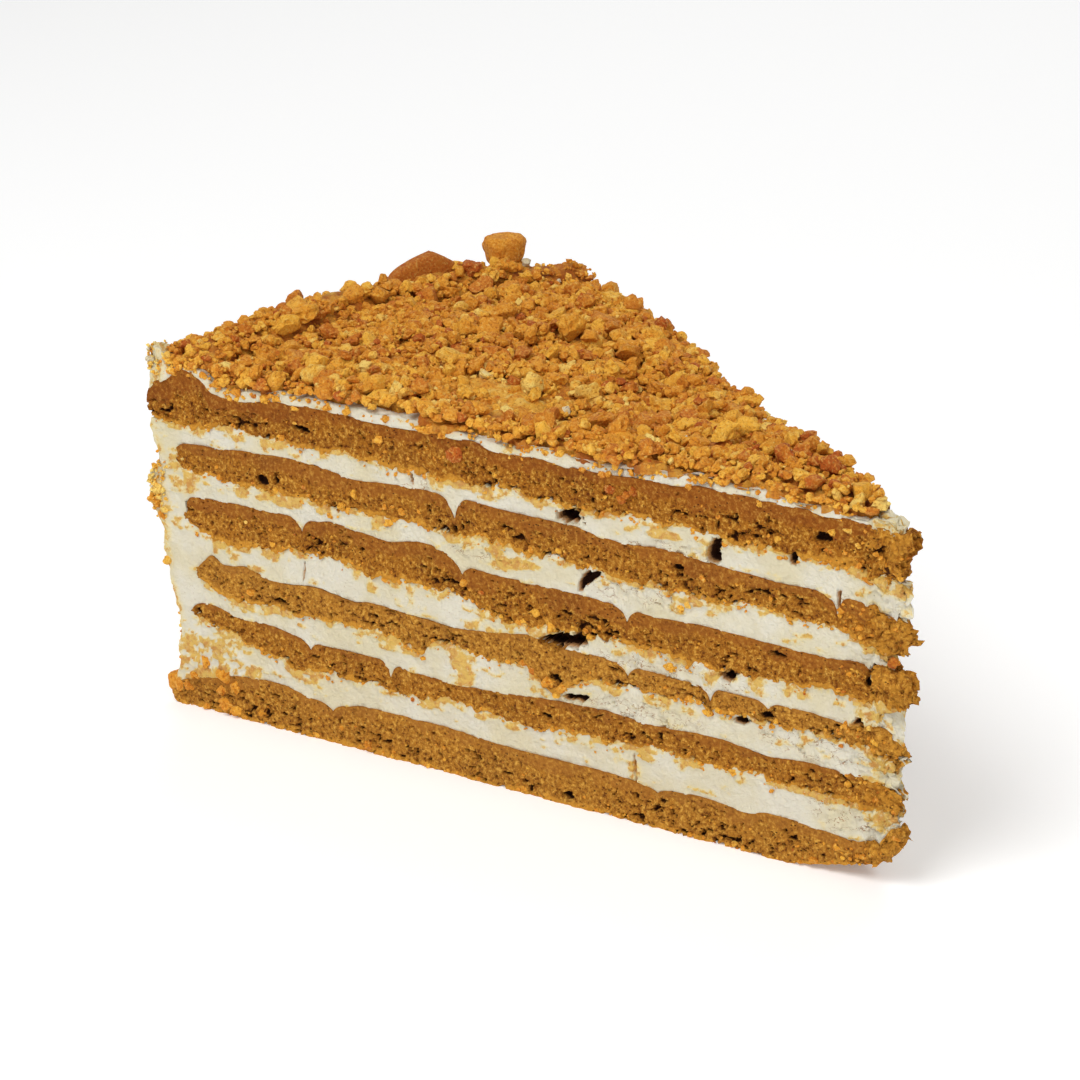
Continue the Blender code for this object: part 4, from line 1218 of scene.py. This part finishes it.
def scatterTopping(material):
    pile = Pile()
    placeLumps(pile, material)
    for kind in crumbKinds:
        spots, sizes, tones = [], [], []
        for radius, degrees, size, tone in zip(*crumbChoices(kind)):
            if len(spots) == kind["count"]:
                break
            spot = pile.drop(*spotAt(radius, degrees), size, kind["sink"], kind["roll"])
            if spot:
                spots.append(spot)
                sizes.append(size)
                tones.append(tone)
        joinCrumbs(kind, spots, sizes, np.array(tones), "crumbs", material)


# Crumbs on the cuts and on the rim

def joinGroups(kind, groups, slot, material):
    spots, sizes, tones = (np.concatenate(group) for group in zip(*groups))
    joinCrumbs(kind, spots, sizes, tones, slot, material)


def specksOnSponge(sponge, kind, draw):
    # loose crumbs along a sponge's under side, over its open crumb and at its tip
    count, tips = kind["count"] + kind["tips"], kind["tips"]
    reach = cutEnd - sponge["rim"]
    place = sponge["rim"] + 0.001 + (reach - 0.001) * draw.random(count) ** 0.8
    place[:tips] = draw.uniform(0.1100, 0.1175, tips)
    share = (draw.random(count) > 0.52).astype(float)
    onEnd = (np.arange(count) < tips) & (draw.random(count) < 0.45)
    place[onEnd], share[onEnd] = cutEnd, draw.random(onEnd.sum())
    row = draw.uniform(0.05, 0.95, count)
    nearTip = ramp(0.97, 1.0, (place - sponge["rim"]) / reach)
    x, y, at = planOf(place, share, sponge["reach"] + tipReach(sponge, row, share) * nearTip)
    low, high = lowerEdge(sponge, at, share), topOf(sponge, at, share)
    size = between(kind, draw.random(count) ** 2)
    hanging = low + draw.normal(-0.0001, 0.00050, count)
    z = np.where(draw.random(count) < 0.70, hanging, low + 0.66 * row * (high - low))
    z[:tips] = (low + row * (high - low))[:tips]
    z = np.maximum(z, 0.8 * size + low * (sponge is sponges[-1]))
    inside, _ = hollowAt(at, z, share)
    keep = (inside < 0.05) & (at < 0.1200)
    normal = np.where(share[:, None] == 0, cutNormals[0], cutNormals[1])
    normal = np.where(onEnd[:, None], np.array([1.0, 0, 0]), normal)
    sunk = -0.25 - 1.1 * np.maximum(onEnd, ramp(0.1150, 0.1180, at))
    points = roughenTip(stacked(x, y, z), at) + normal * (size * sunk)[:, None]
    return points[keep], size[keep], draw.normal(0.44, 0.13, count)[keep]


def specksUnderTopping(kind, draw):
    # crumbs fallen on the cream's edge below the topping, more of them near the rim
    count = kind["strip"]
    place = draw.uniform(0.0060, 0.1130, count)
    place[:count // 4] = draw.uniform(0.0014, 0.0070, count // 4)
    size = between(kind, draw.random(count))
    x, y, at = planOf(place, 0 * place, 0.0)
    z = topOf(sponges[0], at, 0 * at) + draw.normal(0.0008, 0.0006, count)
    return stacked(x, y, z) - cutNormals[0] * 0.0001, size, draw.normal(0.54, 0.14, count)


def sprinkleCuts(material):
    # count crumbs on each sponge and tips at its tip, and strip of them below the topping
    kinds = [
        dict(name="cut_specks", count=260, tips=70, strip=210, low=0.00018, high=0.00046,
             subdivisions=1, shapes=40, seed=241),
        dict(name="cut_crumbs", count=40, tips=18, strip=64, low=0.00042, high=0.00080,
             subdivisions=2, shapes=30, seed=243),
    ]
    for kind in kinds:
        draw = np.random.default_rng(kind["seed"])
        groups = [specksOnSponge(sponge, kind, draw) for sponge in sponges]
        joinGroups(kind, groups + [specksUnderTopping(kind, draw)], "sponge", material)


# Single crumbs that the photo shows on the front cut: place, height, size and tone.
strays = inMetres([
    (4, 5, 1, 0.36), (6, 7.5, 1, 0.45), (2.6, 3, 1, 0.30), (-1.2, 33, 1, 0.80), (-1.4, 30.6, 0.9, 0.45),
    (-0.8, 29, 0.8, 0.35), (9.7, 6.1, 1.6, 0.42), (11.2, 4.6, 1.2, 0.44), (9.6, 1.6, 1.4, 0.36),
    (11.5, 1.2, 1.1, 0.44), (8.8, 3.7, 1, 0.30), (35.2, 0.9, 1, 0.30), (10.4, 50.6, 0.9, 0.45),
    (14.2, 49.8, 0.9, 0.40), (11.8, 51.2, 0.8, 0.60), (21, 50, 0.7, 0.55), (24.5, 49.2, 0.6, 0.60),
    (30, 50.3, 0.7, 0.50), (46, 50, 1.1, 0.50), (47.8, 50.4, 1, 0.35), (49.2, 49.7, 0.9, 0.45),
    (51.7, 47.4, 1.3, 0.04), (76, 46.8, 0.9, 0.06), (77.8, 45.8, 0.8, 0.04), (79.4, 47.2, 0.9, 0.06),
    (78.5, 46.4, 0.8, 0.08), (116.5, 31.5, 0.9, 0.10), (111, 47.8, 0.6, 0.80), (108.8, 47.2, 0.6, 0.75),
    (112.5, 46.2, 0.6, 0.75), (98.5, 48.9, 0.5, 0.70), (38.8, 47, 1, 0.45), (58, 45.6, 0.6, 0.65),
    (34, 38.3, 0.8, 0.62), (66, 17.5, 1.2, 0.40), (67.8, 17, 1, 0.45), (64, 27.2, 0.9, 0.60),
    (66.5, 25.6, 1, 0.55), (115, 20.5, 0.9, 0.60), (40, 35.4, 0.7, 0.60), (32, 36.2, 0.9, 0.55),
    (20.5, 36.7, 0.7, 0.60), (86.8, 32.2, 0.8, 0.75), (87.6, 33, 0.6, 0.80), (85.2, 23.7, 1, 0.60),
], 3)


def placeStrays(material):
    kind = dict(name="stray_crumbs", subdivisions=4, shapes=24, seed=271)
    place, height, size, tone = np.array(strays).T
    x, y, _ = planOf(place, 0 * place, 0.0)
    spots = stacked(x, y, np.maximum(height, size)) + cutNormals[0] * (size * -0.10)[:, None]
    joinCrumbs(kind, spots, size, tone, "sponge", material)


def rimOutside(share, height):
    # place of whatever is outermost at the rim at a height
    sponge = sponges[0]["rim"] + 0.0013 * np.abs((height - 0.0455) / 0.0022) ** 2
    outside = np.where(height < coat["bottom"], sponges[-1]["rim"] + 0.0003, coatOutside(share, height))
    outside = np.where(height > coat["top"], sponge, outside)
    return np.where(height > coat["spongeTop"], topCream["rim"], outside)


def crumbsOnRim(kind, draw):
    # in the same patches as the coat's own crumb, thick in two bands and few on bare sponge
    tries = kind["count"] * 8
    share, z = draw.uniform(0.004, 0.996, tries), draw.uniform(0.0008, 0.0500, tries)
    patch = roughNoise(alongRim(share, z) / 0.0060, 135, 5)
    thick = np.exp(-(((z - 0.032) / 0.005) ** 2)) + np.exp(-(((z - 0.050) / 0.0015) ** 2))
    bare = (z < coat["bottom"]) | ((z > coat["top"]) & (z < coat["spongeTop"]))
    chance = patch + 0.35 * thick - 0.55 * bare + draw.normal(0, 0.35, tries)
    good = np.flatnonzero(chance > 0.10)[:kind["count"]]
    size = between(kind, draw.random(tries) ** 1.6)
    x, y, _ = planOf(rimOutside(share, z) - 0.2 * size, share, 0.0)
    spots = stacked(x, y, np.maximum(z, 0.8 * size))
    return spots[good], size[good], draw.normal(0.56, 0.19, tries)[good]


def crumbsAtCorner(kind, draw):
    # pale ones at the front corner, under the second sponge and on the lip
    count = kind["corner"]
    upper = draw.random(count) < 0.30
    share = np.abs(draw.normal(0, 0.025, count)) * (draw.random(count) < 0.6)
    z = np.where(upper, draw.uniform(0.0502, 0.0544, count), draw.normal(0.0328, 0.0023, count))
    place = rimOutside(share, z) + np.abs(draw.normal(0, 0.0015, count)) * (share == 0)
    x, y, _ = planOf(place, share, 0.0)
    tone = draw.normal(0.88, 0.26, count)
    return stacked(x, y, z), 0.8 * between(kind, draw.random(count)), tone


def sprinkleRim(material):
    kinds = [
        dict(name="rim_crumbs", count=620, corner=26, low=0.00050, high=0.0011, subdivisions=2,
             shapes=40, seed=251),
        dict(name="rim_specks", count=3600, corner=340, low=0.00020, high=0.00052, subdivisions=1,
             shapes=50, seed=261),
    ]
    for kind in kinds:
        draw = np.random.default_rng(kind["seed"])
        joinGroups(kind, [crumbsOnRim(kind, draw), crumbsAtCorner(kind, draw)], "coat", material)


# Studio

def setStudio():
    scene = bpy.context.scene
    scene.view_settings.view_transform = "Standard"
    look = dict(eye=(0.337212, -0.271158, 0.190533), right=(0.6141285, 0.78907685, -0.01427976),
                up=(-0.26408372, 0.2225165, 0.93848079), lens=111.066)
    camera = placed("camera", bpy.data.cameras.new("camera"))
    camera.data.lens, camera.data.sensor_width = look["lens"], 36.0
    camera.data.sensor_fit = "AUTO"
    right, up = Vector(look["right"]), Vector(look["up"])
    turn = Matrix((right, up, right.cross(up))).transposed()
    eye = Vector(look["eye"]) + Vector((middle[0], middle[1], 0))
    camera.matrix_world = Matrix.Translation(eye) @ turn.to_4x4()
    scene.camera = camera

    lights = [
        dict(name="key", place=(0.10, -0.55, 0.75), power=5.2, size=0.5),
        dict(name="fill", place=(0.75, -0.25, 0.35), power=2.6, size=0.8),
        dict(name="back", place=(-0.45, 0.55, 0.70), power=2.4, size=0.7),
    ]
    for light in lights:
        data = bpy.data.lights.new(light["name"], "AREA")
        data.energy, data.size = light["power"], light["size"]
        lamp = placed(light["name"], data)
        lamp.location = light["place"]
        lamp.rotation_euler = (Vector((0, 0, 0.02)) - lamp.location).to_track_quat("-Z", "Y").to_euler()

    world = bpy.data.worlds.new("room")
    world.use_nodes = True
    world.node_tree.nodes["Background"].inputs["Color"].default_value = (1.0, 1.0, 1.0, 1)
    world.node_tree.nodes["Background"].inputs["Strength"].default_value = 0.30
    scene.world = world

    bm = bmesh.new()
    bmesh.ops.create_grid(bm, x_segments=1, y_segments=1, size=3.0)
    floor = placed("floor", meshFrom(bm, "floor"))
    floor.data.materials.append(Graph("paleFloor").finished(
        Base_Color=(0.97, 0.97, 0.965, 1), Roughness=0.9,
        Emission_Color=(1.0, 1.0, 1.0, 1), Emission_Strength=0.16,
    ))


setStudio()
spongePaint, creamPaint, crumbPaint = spongeMaterial(), creamMaterial(), crumbMaterial()
for sponge in sponges:
    makeSponge(sponge, spongePaint)
for cream, above, beneath in zip(fillings, sponges, sponges[1:]):
    makeFilling(cream, above, beneath, creamPaint)
makeCoat(creamPaint)
makeTopCream(creamPaint)
makeBedding(crumbPaint)
scatterTopping(crumbPaint)
sprinkleCuts(crumbPaint)
placeStrays(crumbPaint)
sprinkleRim(crumbPaint)
